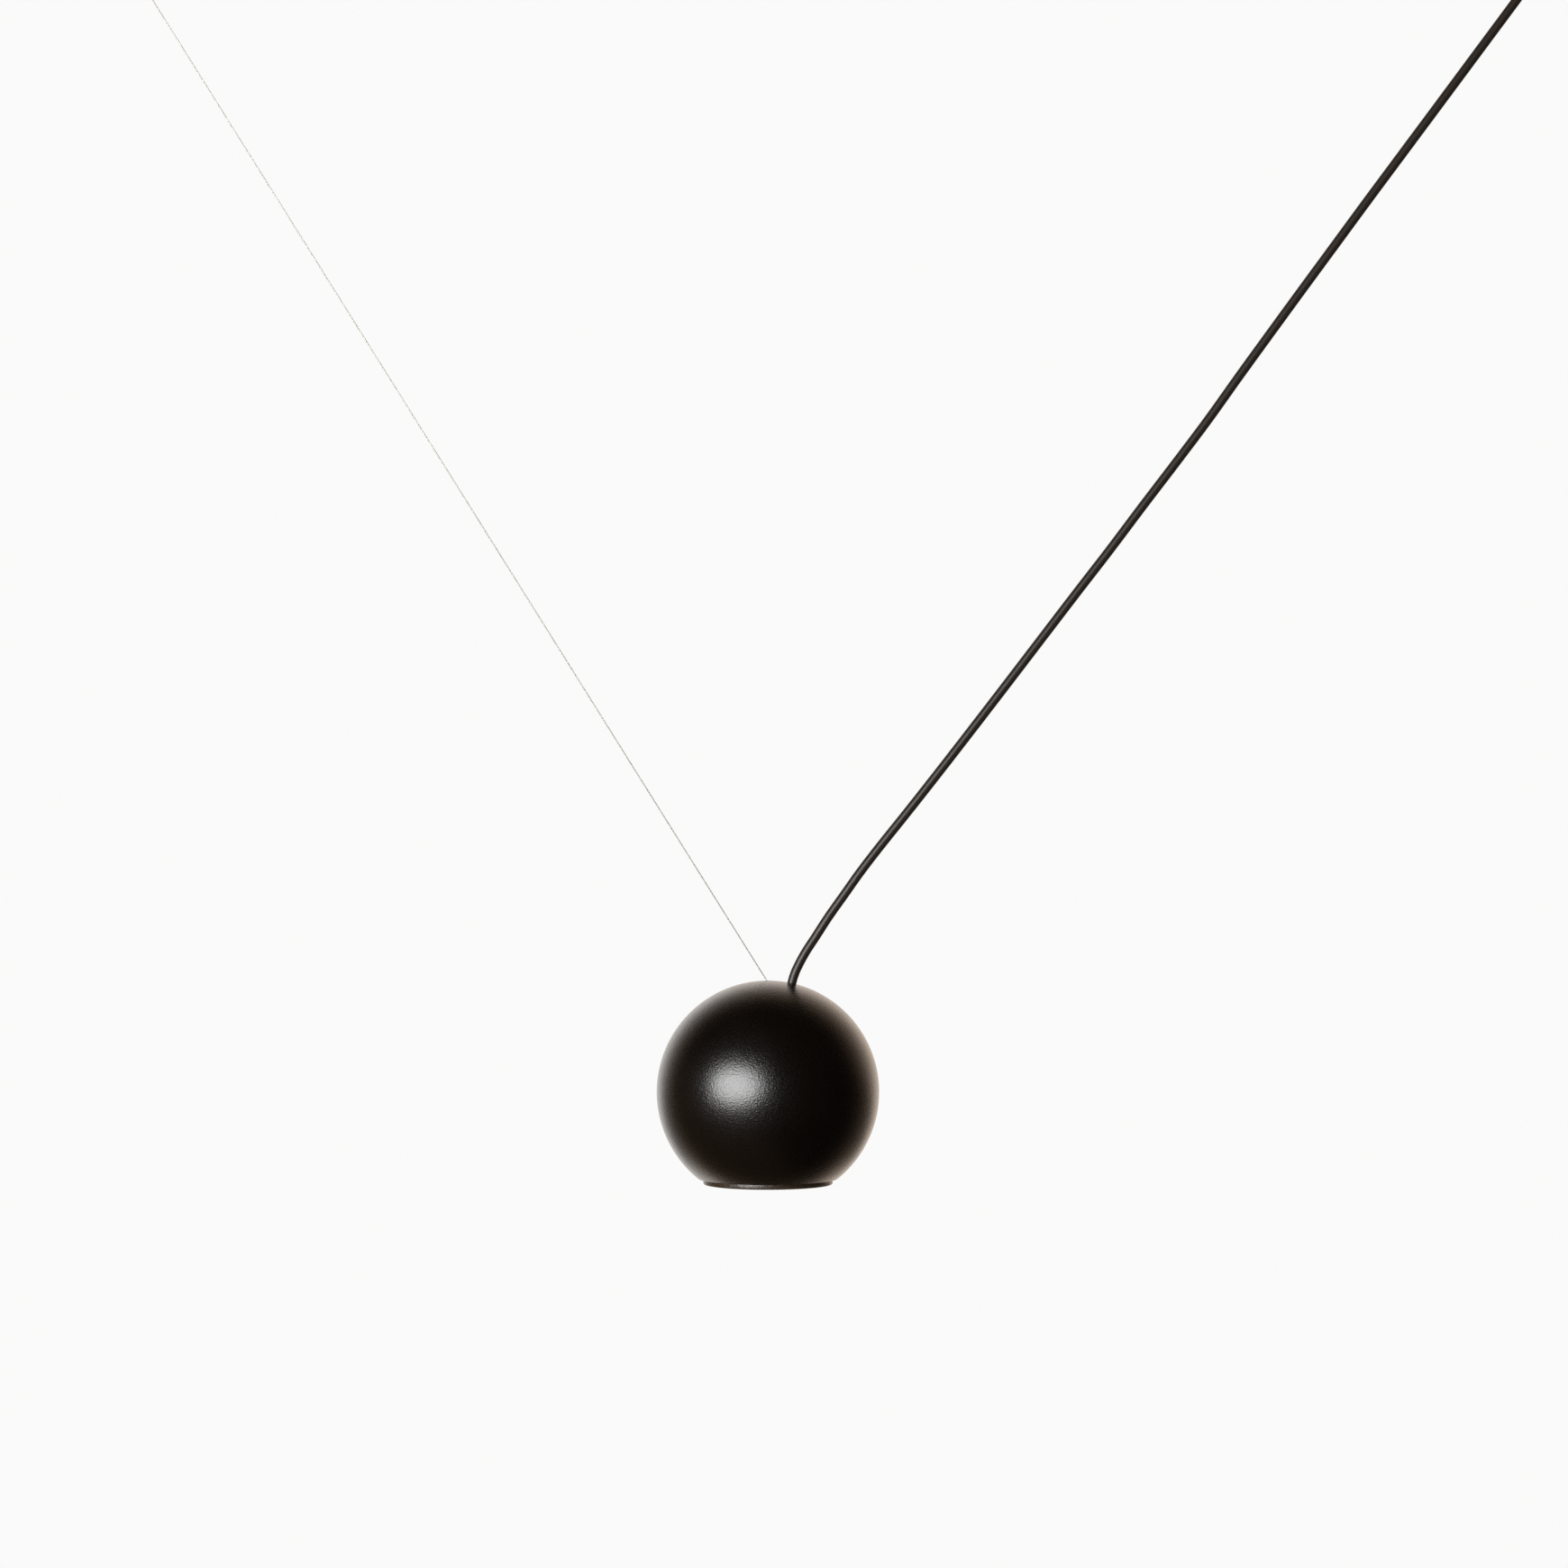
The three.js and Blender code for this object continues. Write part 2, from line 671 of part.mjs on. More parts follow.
function wireGripper() {
  const neckAngle = Math.PI - Math.asin(neckRadius / ballStudRadius);
  const studBall = arc(ballStudRadius, 0, neckAngle, studRings);
  studBall[0][0] = 0;
  piece(gripper, 'ball_stud', turned([
    ...studBall, [neckRadius, studCapTop], [gripperRadius, studCapTop], [gripperRadius, barrelTop],
    [studSpigotRadius, barrelTop], [studSpigotRadius, studEnd], [0, studEnd],
  ]), steel);
  piece(gripper, 'gripper_barrel', turned([
    [gripperBore, barrelTop], [gripperRadius, barrelTop], [gripperRadius, barrelBottom],
    [gripperMouthRadius, barrelBottom], [gripperMouthRadius, coneBottom], [gripperBore, coneTop],
    [gripperBore, barrelTop],
  ]), steel);
  const springBottom = washerTop + gap;
  const springTop = studEnd - gap;
  const spring = ring(washerRadius - springWall, washerRadius, springBottom, springTop);
  piece(gripper, 'gripper_spring', spring, steel);
  piece(gripper, 'gripper_washer', ring(wireBore, washerRadius, washerBottom, washerTop), brass);
  const gripBall = closed(new THREE.SphereGeometry(gripBallRadius, smallFacets, tinyFacets));
  thirds.forEach((angle, third) => {
    const across = gripBallRing * Math.cos(angle);
    const back = gripBallRing * Math.sin(angle);
    const placed = gripBall.clone().translate(across, back, gripBallHeight);
    piece(gripper, `grip_ball_${third + 1}`, placed, steel);
  });
  piece(gripper, 'gripper_plunger', turned([
    [wireBore, plungerTip], [plungerHeadRadius, plungerTip], [plungerHeadRadius, plungerHeadTop],
    [plungerRadius, plungerHeadTop], [plungerRadius, plungerTop], [wireBore, plungerTop],
    [wireBore, plungerTip],
  ]), steel);
  piece(gripper, 'wire_upper_end', rod(wireRadius, plungerTip, springTop, wireSides), steel);
  const wire = new THREE.LineCurve3(
    point(0, 0, wireStub + gap - wireLine),
    point(0, 0, plungerTip - gap),
  );
  piece(gripper, 'suspension_wire', swept(wire, wireRadius, wireSides, wireSteps), steel);
}

function powerCord() {
  const fromAcross = cordStart * Math.sin(cordHoleAngle);
  const fromUp = cordStart * Math.cos(cordHoleAngle);
  const wayAcross = ballAcross - fromAcross;
  const wayUp = ballDrop + glandMouth - gap - fromUp;
  const path = new THREE.CatmullRomCurve3(
    cordRouteShares.map(([across, up]) => (
      point(fromAcross + wayAcross * across, 0, fromUp + wayUp * up)
    )),
    false,
    'centripetal',
  );
  piece(ball, 'power_cord', swept(path, cordRadius, cordSides, cordSteps), cordSheath);
}

// A round bar along the cord's bore, which leans away from the ball's pole
function alongCord(radius, low, high, facets = smallFacets) {
  return rod(radius, low, high, facets).rotateY(cordHoleAngle);
}

function shade() {
  const inner = ballRadius - ballWall;
  const upperArc = arc(ballRadius, 0, Math.PI / 2, upperRings);
  const lowerArc = arc(ballRadius, Math.PI / 2, Math.acos(-ballCutDepth / ballRadius), lowerRings);
  const innerArc = arc(inner, Math.acos(mouthTop / inner), 0, innerRings);
  upperArc[0][0] = 0;
  innerArc[innerRings][0] = 0;
  const shell = turned([
    ...upperArc, ...lowerArc.slice(1), [mouthRadius, -ballCutDepth], [mouthRadius, mouthTop],
    ...innerArc,
  ], fineFacets);
  const notches = thirds.map((angle) => sector(
    mouthRadius - overrun, sleeveRadius + trimLugReach + gap, angle + trimTurn,
    trimLugAngle + trimNotchPlay, -ballCutDepth - overrun, mouthTop + overrun,
  ));
  const wireHole = rod(wireHoleRadius, inner - overrun, ballRadius + overrun);
  const cordHole = alongCord(cordBore, inner - overrun, ballRadius + overrun);
  piece(ball, 'shade', cut(shell, wireHole, cordHole, ...notches), blackPaint);
}

function carrier() {
  const dome = ballRadius - ballWall - gap;
  const domeArc = arc(dome, 0, Math.asin(carrierRadius / dome), cornerRings);
  domeArc[0][0] = 0;
  const recessTop = carrierFloor + nippleHeight + 2 * gap;
  const screwHoles = [carrierScrewAcross, -carrierScrewAcross].map((back) => rod(
    screwRadius + gap, carrierFloor - overrun, carrierFloor + carrierScrewDepth,
  ).translate(0, back, 0));
  const clampHoles = [clampScrewAcross, -clampScrewAcross].map((back) => rod(
    screwRadius + gap, carrierFloor - overrun, carrierFloor + carrierScrewDepth,
  ).translate(clampMiddle, back, 0));
  piece(ball, 'carrier', cut(
    turned([...domeArc, [carrierRadius, carrierFloor], [0, carrierFloor]]),
    rod(wireRadius + gap, carrierFloor, ballRadius),
    rod(nippleRadius + gap, carrierFloor - overrun, recessTop),
    alongCord(cordBore, carrierFloor - cordRadius, ballRadius),
    ...screwHoles,
    ...clampHoles,
  ), aluminium);
  piece(ball, 'wire_nipple', rod(nippleRadius, carrierFloor + gap, recessTop - gap), brass);
  const lean = Math.PI / 2 - wireLean;
  const bend = arc(wireBendRadius, Math.PI / 2, lean, wireBendSteps, -wireBendRadius, wireBendStart);
  const [endAcross, endUp] = bend[wireBendSteps];
  const path = new THREE.CatmullRomCurve3([
    point(0, 0, recessTop), point(0, 0, recessTop + wireBendRadius),
    ...bend.map(([across, up]) => point(across, 0, up)),
    point(endAcross - wireStub * Math.sin(wireLean), 0, endUp + wireStub * Math.cos(wireLean)),
  ], false, 'centripetal');
  piece(ball, 'wire_lower_end', swept(path, wireRadius, wireSides, wireSteps * 2), steel);
}

function cordClamp() {
  const half = clampLength / 2;
  const block = slab([clampInner, -half, clampBottom], [clampInner + clampWidth, half, carrierFloor]);
  const holes = [clampScrewAcross, -clampScrewAcross].map((back) => rod(
    screwRadius + gap, clampBottom - overrun, carrierFloor + overrun,
  ).translate(clampMiddle, back, 0));
  const bore = alongCord(cordBore, clampBottom - clampHeight, carrierFloor + clampHeight);
  piece(ball, 'cord_clamp', cut(block, bore, ...holes), blackNylon);
  const bolt = screw(clampHeight + carrierScrewDepth - gap);
  pair(ball, 'cord_clamp_screw', bolt, [clampMiddle, clampScrewAcross, clampBottom], steel);
  piece(ball, 'cord_lower_end', alongCord(cordRadius, sheathEnd, sheathStart), cordSheath);
}

function lampBracket() {
  const side = strapSpan / 2;
  const leg = side - strapThickness;
  const foot = side - strapFoot;
  const footTop = holderTop + strapThickness;
  const outline = new THREE.Shape([
    [-side, carrierFloor], [-side, holderTop], [-foot, holderTop], [-foot, footTop],
    [-leg, footTop], [-leg, strapSeat], [leg, strapSeat], [leg, footTop],
    [foot, footTop], [foot, holderTop], [side, holderTop], [side, carrierFloor],
  ].map(([across, up]) => new THREE.Vector2(across, up)));
  const extrusion = { depth: strapWidth, bevelEnabled: false };
  const strap = new THREE.ExtrudeGeometry(outline, extrusion).translate(0, 0, -strapWidth / 2);
  const upright = closed(strap.rotateX(Math.PI / 2).rotateZ(Math.PI / 2));
  const seats = [
    [carrierScrewAcross, strapSeat], [-carrierScrewAcross, strapSeat],
    [holderScrewAcross, footTop], [-holderScrewAcross, footTop],
  ];
  const holes = seats.map(([back, up]) => rod(
    screwRadius + gap, up - strapThickness - overrun, up + strapThickness + overrun,
  ).translate(0, back, 0));
  piece(ball, 'lamp_bracket', cut(upright, ...holes), steel);
  const topScrew = screw(strapThickness + carrierScrewDepth - gap);
  const footScrew = screw(strapThickness + holderFlangeThickness).rotateX(Math.PI);
  pair(ball, 'bracket_screw', topScrew, [0, carrierScrewAcross, strapSeat], steel);
  pair(ball, 'lampholder_screw', footScrew, [0, holderScrewAcross, footTop], steel);
}

function ballWiring() {
  terminalBlock(ball, 'ball', ballBlockAcross, strapSeat);
  const entry = strapSeat - blockEntryDepth;
  const inside = blockWidth / 2 - blockEntryLength + gap;
  const start = sheathEnd - gap;
  const down = point(-Math.sin(cordHoleAngle), 0, -Math.cos(cordHoleAngle));
  const cores = [['brown', coreBrown], ['earth', coreEarth], ['blue', coreBlue]];
  cores.forEach(([colour, material], place) => {
    const lead = core(
      point(-start * down.x, coreSpacing * (place - 1), -start * down.z), down, coreRadius,
      point(ballBlockAcross + inside, blockWayPitch * (place - 1), entry), point(-1, 0, 0),
    );
    piece(ball, `lower_${colour}_core`, lead, material);
  });
  const holderEnd = holderTop - holderCoreDepth + gap;
  [['brown', coreBrown, -1], ['blue', coreBlue, 1]].forEach(([colour, material, back]) => {
    const lead = core(
      point(-holderCoreAcross, back * holderCoreApart, holderEnd), point(0, 0, 1), holderCoreDepth,
      point(ballBlockAcross - inside, back * blockWayPitch, entry), point(1, 0, 0),
    );
    piece(ball, `lampholder_${colour}_core`, lead, material);
  });
}

function lampholder() {
  const coreHoles = [holderCoreApart, -holderCoreApart].map((back) => rod(
    coreBore, holderTop - holderCoreDepth, holderTop + overrun, tinyFacets,
  ).translate(-holderCoreAcross, back, 0));
  const screwHoles = [holderScrewAcross, -holderScrewAcross].map((back) => rod(
    screwRadius + gap, flangeBottom - overrun, holderTop + overrun,
  ).translate(0, back, 0));
  const cap = turned([
    [0, holderTop], [holderFlangeRadius, holderTop], [holderFlangeRadius, flangeBottom],
    [holderRadius, flangeBottom], [holderRadius, holderCapBottom], [0, holderCapBottom],
  ]);
  piece(ball, 'lampholder_cap', cut(cap, ...coreHoles, ...screwHoles), ceramic);
  const low = pinPitchRadius - pinHeadRadius - pinPlay;
  const high = pinPitchRadius + pinHeadRadius + pinPlay;
  const headAngle = 2 * Math.asin(pinHeadRadius / pinPitchRadius) + 2 * pinPlay / pinPitchRadius;
  const playAngle = 2 * contactInset / pinPitchRadius;
  const sides = [Math.PI / 2, -Math.PI / 2].map((angle) => angle + lampTurn / 2);
  const slots = sides.map((angle) => sector(
    low, high, angle, headAngle + lampTurn, holderBottom - overrun, holderCapBottom + overrun,
  ));
  const body = rod(holderRadius, holderBottom, holderCapBottom, roundFacets);
  piece(ball, 'lampholder_body', cut(body, ...slots), ceramic);
  sides.forEach((angle, side) => {
    const contact = sector(
      low + contactInset, high - contactInset, angle, headAngle + lampTurn - playAngle,
      pinTop + gap, holderCapBottom,
    );
    piece(ball, ['lampholder_contact_back', 'lampholder_contact_front'][side], contact, brass);
  });
}

function lamp() {
  const pin = turned([
    [0, lampTop], [pinNeckRadius, lampTop], [pinNeckRadius, lampTop + pinNeckHeight],
    [pinHeadRadius, lampTop + pinNeckHeight], [pinHeadRadius, pinTop], [0, pinTop],
  ], smallFacets);
  pair(ball, 'lamp_pin', pin, [0, pinPitchRadius, 0], brass);
  piece(ball, 'lamp_base', turned([
    [0, lampTop], [lampBaseRadius, lampTop], [lampBaseRadius, lampTop - lampBaseNeck],
    [lampBodyRadius, lampBaseBottom], [0, lampBaseBottom],
  ]), lampPlastic);
  const rim = lampRimRadius - lampWall;
  const back = lampBaseBottom - lampWall;
  const ledge = lampFace + lensRecess + lensThickness;
  piece(ball, 'lamp_housing', turned([
    [0, lampBaseBottom], [lampBodyRadius, lampBaseBottom], [lampRimRadius, lampRimTop],
    [lampRimRadius, lampFace], [rim, lampFace], [rim, ledge], [rim - lensLedge, ledge],
    [lampBodyRadius - lampWall, back], [0, back],
  ]), lampPlastic);
  const board = lampBodyRadius - lampWall - boardPlay;
  const half = chipSize / 2;
  const chipTop = back - boardThickness;
  const chips = Array.from({ length: chipCount }, (_, place) => {
    const angle = 2 * Math.PI * place / chipCount;
    const chip = slab([-half, -half, chipTop - chipHeight], [half, half, back]);
    return chip.translate(chipRing * Math.cos(angle), chipRing * Math.sin(angle), 0);
  });
  const plate = rod(board, chipTop, back, roundFacets);
  piece(ball, 'light_board', joined(plate, ...chips), aluminium);
  const lensBottom = lampFace + lensRecess;
  piece(ball, 'lamp_lens', rod(rim - gap, lensBottom, ledge, fineFacets), lensPlastic);
}

function trim() {
  const bottom = -ballCutDepth - trimHeight;
  const flangeTop = -ballCutDepth - running;
  const sleeveTop = trimSleeveHeight - ballCutDepth;
  const edge = arc(
    trimCorner, Math.PI, Math.PI / 2, cornerRings, trimRadius - trimCorner, bottom + trimCorner,
  );
  const collar = turned([
    [sleeveBore, bottom], ...edge, [trimRadius, flangeTop], [sleeveRadius, flangeTop],
    [sleeveRadius, sleeveTop], [sleeveBore, sleeveTop], [sleeveBore, bottom],
  ], fineFacets);
  const lugs = thirds.map((angle) => sector(
    sleeveRadius - trimSleeveWall / 2, sleeveRadius + trimLugReach, angle, trimLugAngle,
    mouthTop + gap, mouthTop + gap + trimLugHeight,
  ));
  piece(ball, 'trim_ring', joined(collar, ...lugs), blackPaint);
  const low = bottom + baffleInset;
  const teeth = Array.from({ length: baffleSteps }, (_, step) => {
    const radius = baffleTopRadius + (baffleBottomRadius - baffleTopRadius) * step / baffleSteps;
    const up = low + baffleHeight - baffleHeight * step / baffleSteps;
    return [[radius, up], [radius + baffleTooth, up - baffleTooth]];
  }).flat();
  piece(ball, 'glare_baffle', turned([
    [baffleRadius, low], [baffleRadius, low + baffleHeight], ...teeth, [baffleBottomRadius, low],
    [baffleRadius, low],
  ], fineFacets), blackTrim);
}

canopyPlate();
canopyEarth();
canopyCup();
gland();
canopyWiring();
wireAnchor();
wireGripper();
powerCord();
shade();
carrier();
cordClamp();
lampBracket();
ballWiring();
lampholder();
lamp();
trim();

export default light;
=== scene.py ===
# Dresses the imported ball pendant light: camera, cords, fine outer pieces, materials and light.
# Metres, in the row frame: the origin is the centre of the canopy's ceiling face, +Z up.
# Profiles, and the sizes that go with them, are in millimetres.

import math
import bpy
import bmesh
from mathutils import Matrix, Vector


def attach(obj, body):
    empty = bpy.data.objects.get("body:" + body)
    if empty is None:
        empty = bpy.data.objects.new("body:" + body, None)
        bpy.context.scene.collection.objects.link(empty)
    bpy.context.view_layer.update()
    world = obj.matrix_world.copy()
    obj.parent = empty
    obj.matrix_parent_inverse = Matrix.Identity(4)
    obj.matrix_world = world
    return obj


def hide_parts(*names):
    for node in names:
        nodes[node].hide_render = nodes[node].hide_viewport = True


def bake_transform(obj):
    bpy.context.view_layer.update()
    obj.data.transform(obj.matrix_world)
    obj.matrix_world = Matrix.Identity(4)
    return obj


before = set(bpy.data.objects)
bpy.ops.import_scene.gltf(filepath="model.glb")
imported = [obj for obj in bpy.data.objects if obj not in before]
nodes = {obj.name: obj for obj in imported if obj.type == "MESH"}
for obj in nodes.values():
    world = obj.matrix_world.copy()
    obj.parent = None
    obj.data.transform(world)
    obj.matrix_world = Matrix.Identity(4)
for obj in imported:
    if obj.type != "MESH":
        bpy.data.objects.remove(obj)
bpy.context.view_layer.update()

MM = 0.001
BALL = Vector((-0.425, 0.0, -0.670))
ANCHOR = Vector((-0.784, 0.0, 0.0))
PIVOT = Vector((-0.784, 0.0, -0.038))
CORD_RADIUS = 0.0025
WIRE_RADIUS = 0.0003

# The free wire is the tangent from its pivot to the bend that it makes in the ball's top.
WIRE_BEND = 0.0015
BEND_ACROSS, BEND_DOWN = 0.3575, 0.5735
BEND_AWAY = math.hypot(BEND_ACROSS, BEND_DOWN)
LEAN = math.atan2(BEND_ACROSS, BEND_DOWN) + math.asin(WIRE_BEND / BEND_AWAY)
WIRE_LINE = math.sqrt(BEND_AWAY ** 2 - WIRE_BEND ** 2)

ON_BALL = Matrix.Translation(BALL)
ON_ANCHOR = Matrix.Translation(ANCHOR)
ON_GRIPPER = Matrix.Translation(PIVOT) @ Matrix.Rotation(-LEAN, 4, "Y")
CORD_ANGLE = math.radians(12.4)
ON_CORD_BORE = ON_BALL @ Matrix.Rotation(CORD_ANGLE, 4, "Y")


# ---- Camera ----
def add_camera():
    data = bpy.data.cameras.new("camera")
    data.lens = 85
    data.sensor_width = 36
    data.clip_end = 50
    data.shift_y = 0.0426
    camera = bpy.data.objects.new("camera", data)
    camera.location = (-0.41635, -1.997, -0.540)
    camera.rotation_euler = (math.radians(90), 0, 0)
    bpy.context.scene.collection.objects.link(camera)
    bpy.context.scene.camera = camera


# ---- Mesh helpers ----
def new_object(name, verts, faces, material, sharp=30, uvs=None):
    mesh = bpy.data.meshes.new(name)
    mesh.from_pydata([tuple(v) for v in verts], [], faces)
    if uvs:
        layer = mesh.uv_layers.new(name="UVMap")
        layer.data.foreach_set("uv", [c for face in uvs for uv in face for c in uv])
    work = bmesh.new()
    work.from_mesh(mesh)
    bmesh.ops.recalc_face_normals(work, faces=work.faces)
    work.to_mesh(mesh)
    work.free()
    for face in mesh.polygons:
        face.use_smooth = True
    mesh.set_sharp_from_angle(angle=math.radians(sharp))
    mesh.materials.append(material)
    obj = bpy.data.objects.new(name, mesh)
    bpy.context.scene.collection.objects.link(obj)
    return obj


def softened(points, steps=4):
    """A closed profile of (radius, height, fillet) points with its corners rounded."""
    nearly_straight = math.radians(88)
    longest_cut, same_point = 0.48, 1e-9
    count = len(points)
    out = []
    for i, (r, z, fillet) in enumerate(points):
        here = Vector((r, z))
        before = Vector(points[i - 1][:2]) - here
        after = Vector(points[(i + 1) % count][:2]) - here
        if fillet <= 0 or min(before.length, after.length) < same_point:
            out.append((r, z))
            continue
        half = before.angle(after) / 2
        if half > nearly_straight:
            out.append((r, z))
            continue
        cut = min(
            fillet / math.tan(half), before.length * longest_cut, after.length * longest_cut,
        )
        reach = cut * math.tan(half) / math.sin(half)
        middle = here + (before.normalized() + after.normalized()).normalized() * reach
        first = here + before.normalized() * cut - middle
        last = here + after.normalized() * cut - middle
        turn = math.atan2(first.x * last.y - first.y * last.x, first.dot(last))
        for k in range(steps + 1):
            a = turn * k / steps
            out.append((
                middle.x + first.x * math.cos(a) - first.y * math.sin(a),
                middle.y + first.x * math.sin(a) + first.y * math.cos(a),
            ))
    return out


def turned(name, profile, place, material, segments=96, closed=True, ripple=None, sharp=30):
    """A profile of (radius, height) turned about the upright axis of place."""
    on_axis = 1e-6
    verts, faces, rings = [], [], []
    for r, z in profile:
        if r < on_axis:
            rings.append([len(verts)] * segments)
            verts.append(place @ Vector((0, 0, z * MM)))
            continue
        rings.append(list(range(len(verts), len(verts) + segments)))
        for s in range(segments):
            a = 2 * math.pi * s / segments
            reach = (r + (ripple(a, r, z) if ripple else 0)) * MM
            verts.append(place @ Vector((reach * math.cos(a), reach * math.sin(a), z * MM)))
    pairs = list(zip(rings, rings[1:]))
    if closed:
        pairs.append((rings[-1], rings[0]))
    for low, high in pairs:
        if low[0] == low[-1] and high[0] == high[-1]:
            continue
        for s in range(segments):
            n = (s + 1) % segments
            face = [low[s], low[n], high[n], high[s]]
            faces.append([v for i, v in enumerate(face) if v != face[i - 1]])
    return new_object(name, verts, faces, material, sharp)


def tube(name, points, radius, material, sides):
    """A round bar along points, with u round it and v along it, in metres."""
    points = [Vector(p) for p in points]
    verts, along = [], [0.0]
    for a, b in zip(points, points[1:]):
        along.append(along[-1] + (b - a).length)
    across = Vector((0, 1, 0))
    for i, p in enumerate(points):
        ahead = (points[min(i + 1, len(points) - 1)] - points[max(i - 1, 0)]).normalized()
        right = ahead.cross(across).normalized()
        for s in range(sides):
            a = 2 * math.pi * s / sides
            verts.append(p + (right * math.cos(a) + across * math.sin(a)) * radius)
    faces, uvs = [], []
    for i in range(len(points) - 1):
        for s in range(sides):
            n = (s + 1) % sides
            faces.append([i * sides + s, i * sides + n, (i + 1) * sides + n, (i + 1) * sides + s])
            u, w = s / sides, (s + 1) / sides
            uvs.append([(u, along[i]), (w, along[i]), (w, along[i + 1]), (u, along[i + 1])])
    last = (len(points) - 1) * sides
    for cap in (list(range(sides))[::-1], list(range(last, last + sides))):
        faces.append(cap)
        uvs.append([(0.0, 0.0)] * sides)
    return new_object(name, verts, faces, material, 40, uvs)


def smooth_line(points, step):
    """Points on a centripetal Catmull-Rom curve through points, about step apart."""
    points = [Vector(p) for p in points]
    line = [points[0] * 2 - points[1], *points, points[-1] * 2 - points[-2]]
    out = [points[0]]
    for i in range(1, len(line) - 2):
        p0, p1, p2, p3 = line[i - 1:i + 3]
        t1 = (p1 - p0).length ** 0.5
        t2 = t1 + (p2 - p1).length ** 0.5
        t3 = t2 + (p3 - p2).length ** 0.5
        count = max(1, round((p2 - p1).length / step))
        for k in range(1, count + 1):
            t = t1 + (t2 - t1) * k / count
            a1 = p0 * ((t1 - t) / t1) + p1 * (t / t1)
            a2 = p1 * ((t2 - t) / (t2 - t1)) + p2 * ((t - t1) / (t2 - t1))
            a3 = p2 * ((t3 - t) / (t3 - t2)) + p3 * ((t - t2) / (t3 - t2))
            b1 = a1 * ((t2 - t) / t2) + a2 * (t / t2)
            b2 = a2 * ((t3 - t) / (t3 - t1)) + a3 * ((t - t1) / (t3 - t1))
            out.append(b1 * ((t2 - t) / (t2 - t1)) + b2 * ((t - t1) / (t2 - t1)))
    return out


# ---- Materials ----
def add_node(tree, kind, inputs, **settings):
    """A shader node, with each input set to a value or linked from another node's output."""
    made = tree.nodes.new("ShaderNode" + kind)
    for key, value in settings.items():
        setattr(made, key, value)
    for socket, value in inputs.items():
        if isinstance(value, bpy.types.NodeSocket):
            tree.links.new(value, made.inputs[socket])
        else:
            made.inputs[socket].default_value = value
    return made


def surface(
    name, color, other, rough, metallic=0.0, tone=60.0, grain=900.0, grain_depth=0.02,
    rough_spread=0.06, stretch=(1, 1, 1), uv=False, specular=0.5, coat=0.0, fine=None, pebble=0.0,
):
    """A finish with two mottled tones, uneven gloss and a grain in relief. Pebble makes the
    grain's hollows duller, and fine, a scale and a share, adds a finer grain. Scales are per
    metre, and the grain's depth is in millimetres."""
    material = bpy.data.materials.new(name)
    material.use_nodes = True
    tree = material.node_tree
    shader = tree.nodes["Principled BSDF"]
    shader.inputs["Metallic"].default_value = metallic
    shader.inputs["Specular IOR Level"].default_value = specular
    shader.inputs["Coat Weight"].default_value = coat
    shader.inputs["Coat Roughness"].default_value = min(rough, 0.25)
    where = tree.nodes.new("ShaderNodeTexCoord")
    scaled = add_node(tree, "Mapping", {
        "Vector": where.outputs["UV" if uv else "Object"], "Scale": stretch,
    })

    def noise(scale, detail, roughness=0.5):
        return add_node(tree, "TexNoise", {
            "Vector": scaled.outputs["Vector"], "Scale": scale, "Detail": detail,
            "Roughness": roughness,
        }).outputs["Fac"]

    mottle = add_node(tree, "Mix", {
        "Factor": noise(tone, 4.0, 0.6), "A": (*color, 1), "B": (*other, 1),
    }, data_type="RGBA")
    tree.links.new(mottle.outputs["Result"], shader.inputs["Base Color"])
    gloss = add_node(tree, "MapRange", {
        "Value": noise(tone * 1.7, 3.0), "To Min": max(0.02, rough - rough_spread),
        "To Max": rough + rough_spread,
    }).outputs["Result"]
    height = noise(grain, 1.5)
    if pebble:
        hollow = add_node(tree, "MapRange", {
            "Value": height, "From Min": 0.35, "From Max": 0.65,
            "To Min": pebble, "To Max": -pebble / 2,
        })
        gloss = add_node(tree, "Math", {0: gloss, 1: hollow.outputs["Result"]}).outputs["Value"]
    tree.links.new(gloss, shader.inputs["Roughness"])
    if fine:
        fine_scale, share = fine
        both = add_node(tree, "Math", {
            0: noise(fine_scale, 2.0), 1: share, 2: height,
        }, operation="MULTIPLY_ADD")
        height = both.outputs["Value"]
    bump = add_node(tree, "Bump", {"Height": height, "Distance": grain_depth * MM})
    tree.links.new(bump.outputs["Normal"], shader.inputs["Normal"])
    return material


black_paint = surface(
    "black_powder_coat", (0.0030, 0.0015, 0.0006), (0.0046, 0.0025, 0.0012), 0.25,
    tone=45, grain=1150, grain_depth=0.135, rough_spread=0.025, specular=1.0, coat=0.4,
    fine=(2400, 0.15), pebble=0.05,
)
# The collar's black powder coat, with a lighter, browner base colour than the ball's: painted
# sheen, standing in for the light that the collar catches from below.
collar_coat_painted_sheen = surface(
    "black_powder_coat_collar_painted_sheen", (0.0380, 0.0200, 0.0060), (0.0460, 0.0250, 0.0090), 0.42,
    tone=45, grain=900, grain_depth=0.36, rough_spread=0.03, specular=1.0, coat=0.6,
    fine=(1900, 0.15), pebble=0.10,
)
black_trim = surface(
    "matt_black_paint", (0.010, 0.008, 0.0065), (0.016, 0.0125, 0.010), 0.52,
    tone=80, grain=900, grain_depth=0.2, fine=(2200, 0.2),
)
cord_black = surface(
    "satin_cord_sheath", (0.026, 0.019, 0.014), (0.032, 0.023, 0.017), 0.38,
    tone=24, grain=70, grain_depth=0.006, stretch=(0.05, 1.0, 1.0), uv=True, specular=0.72,
)
cord_end_black = surface(
    "cord_sheath_inside", (0.018, 0.0165, 0.015), (0.026, 0.023, 0.020), 0.38,
    tone=200, grain=900, grain_depth=0.02,
)
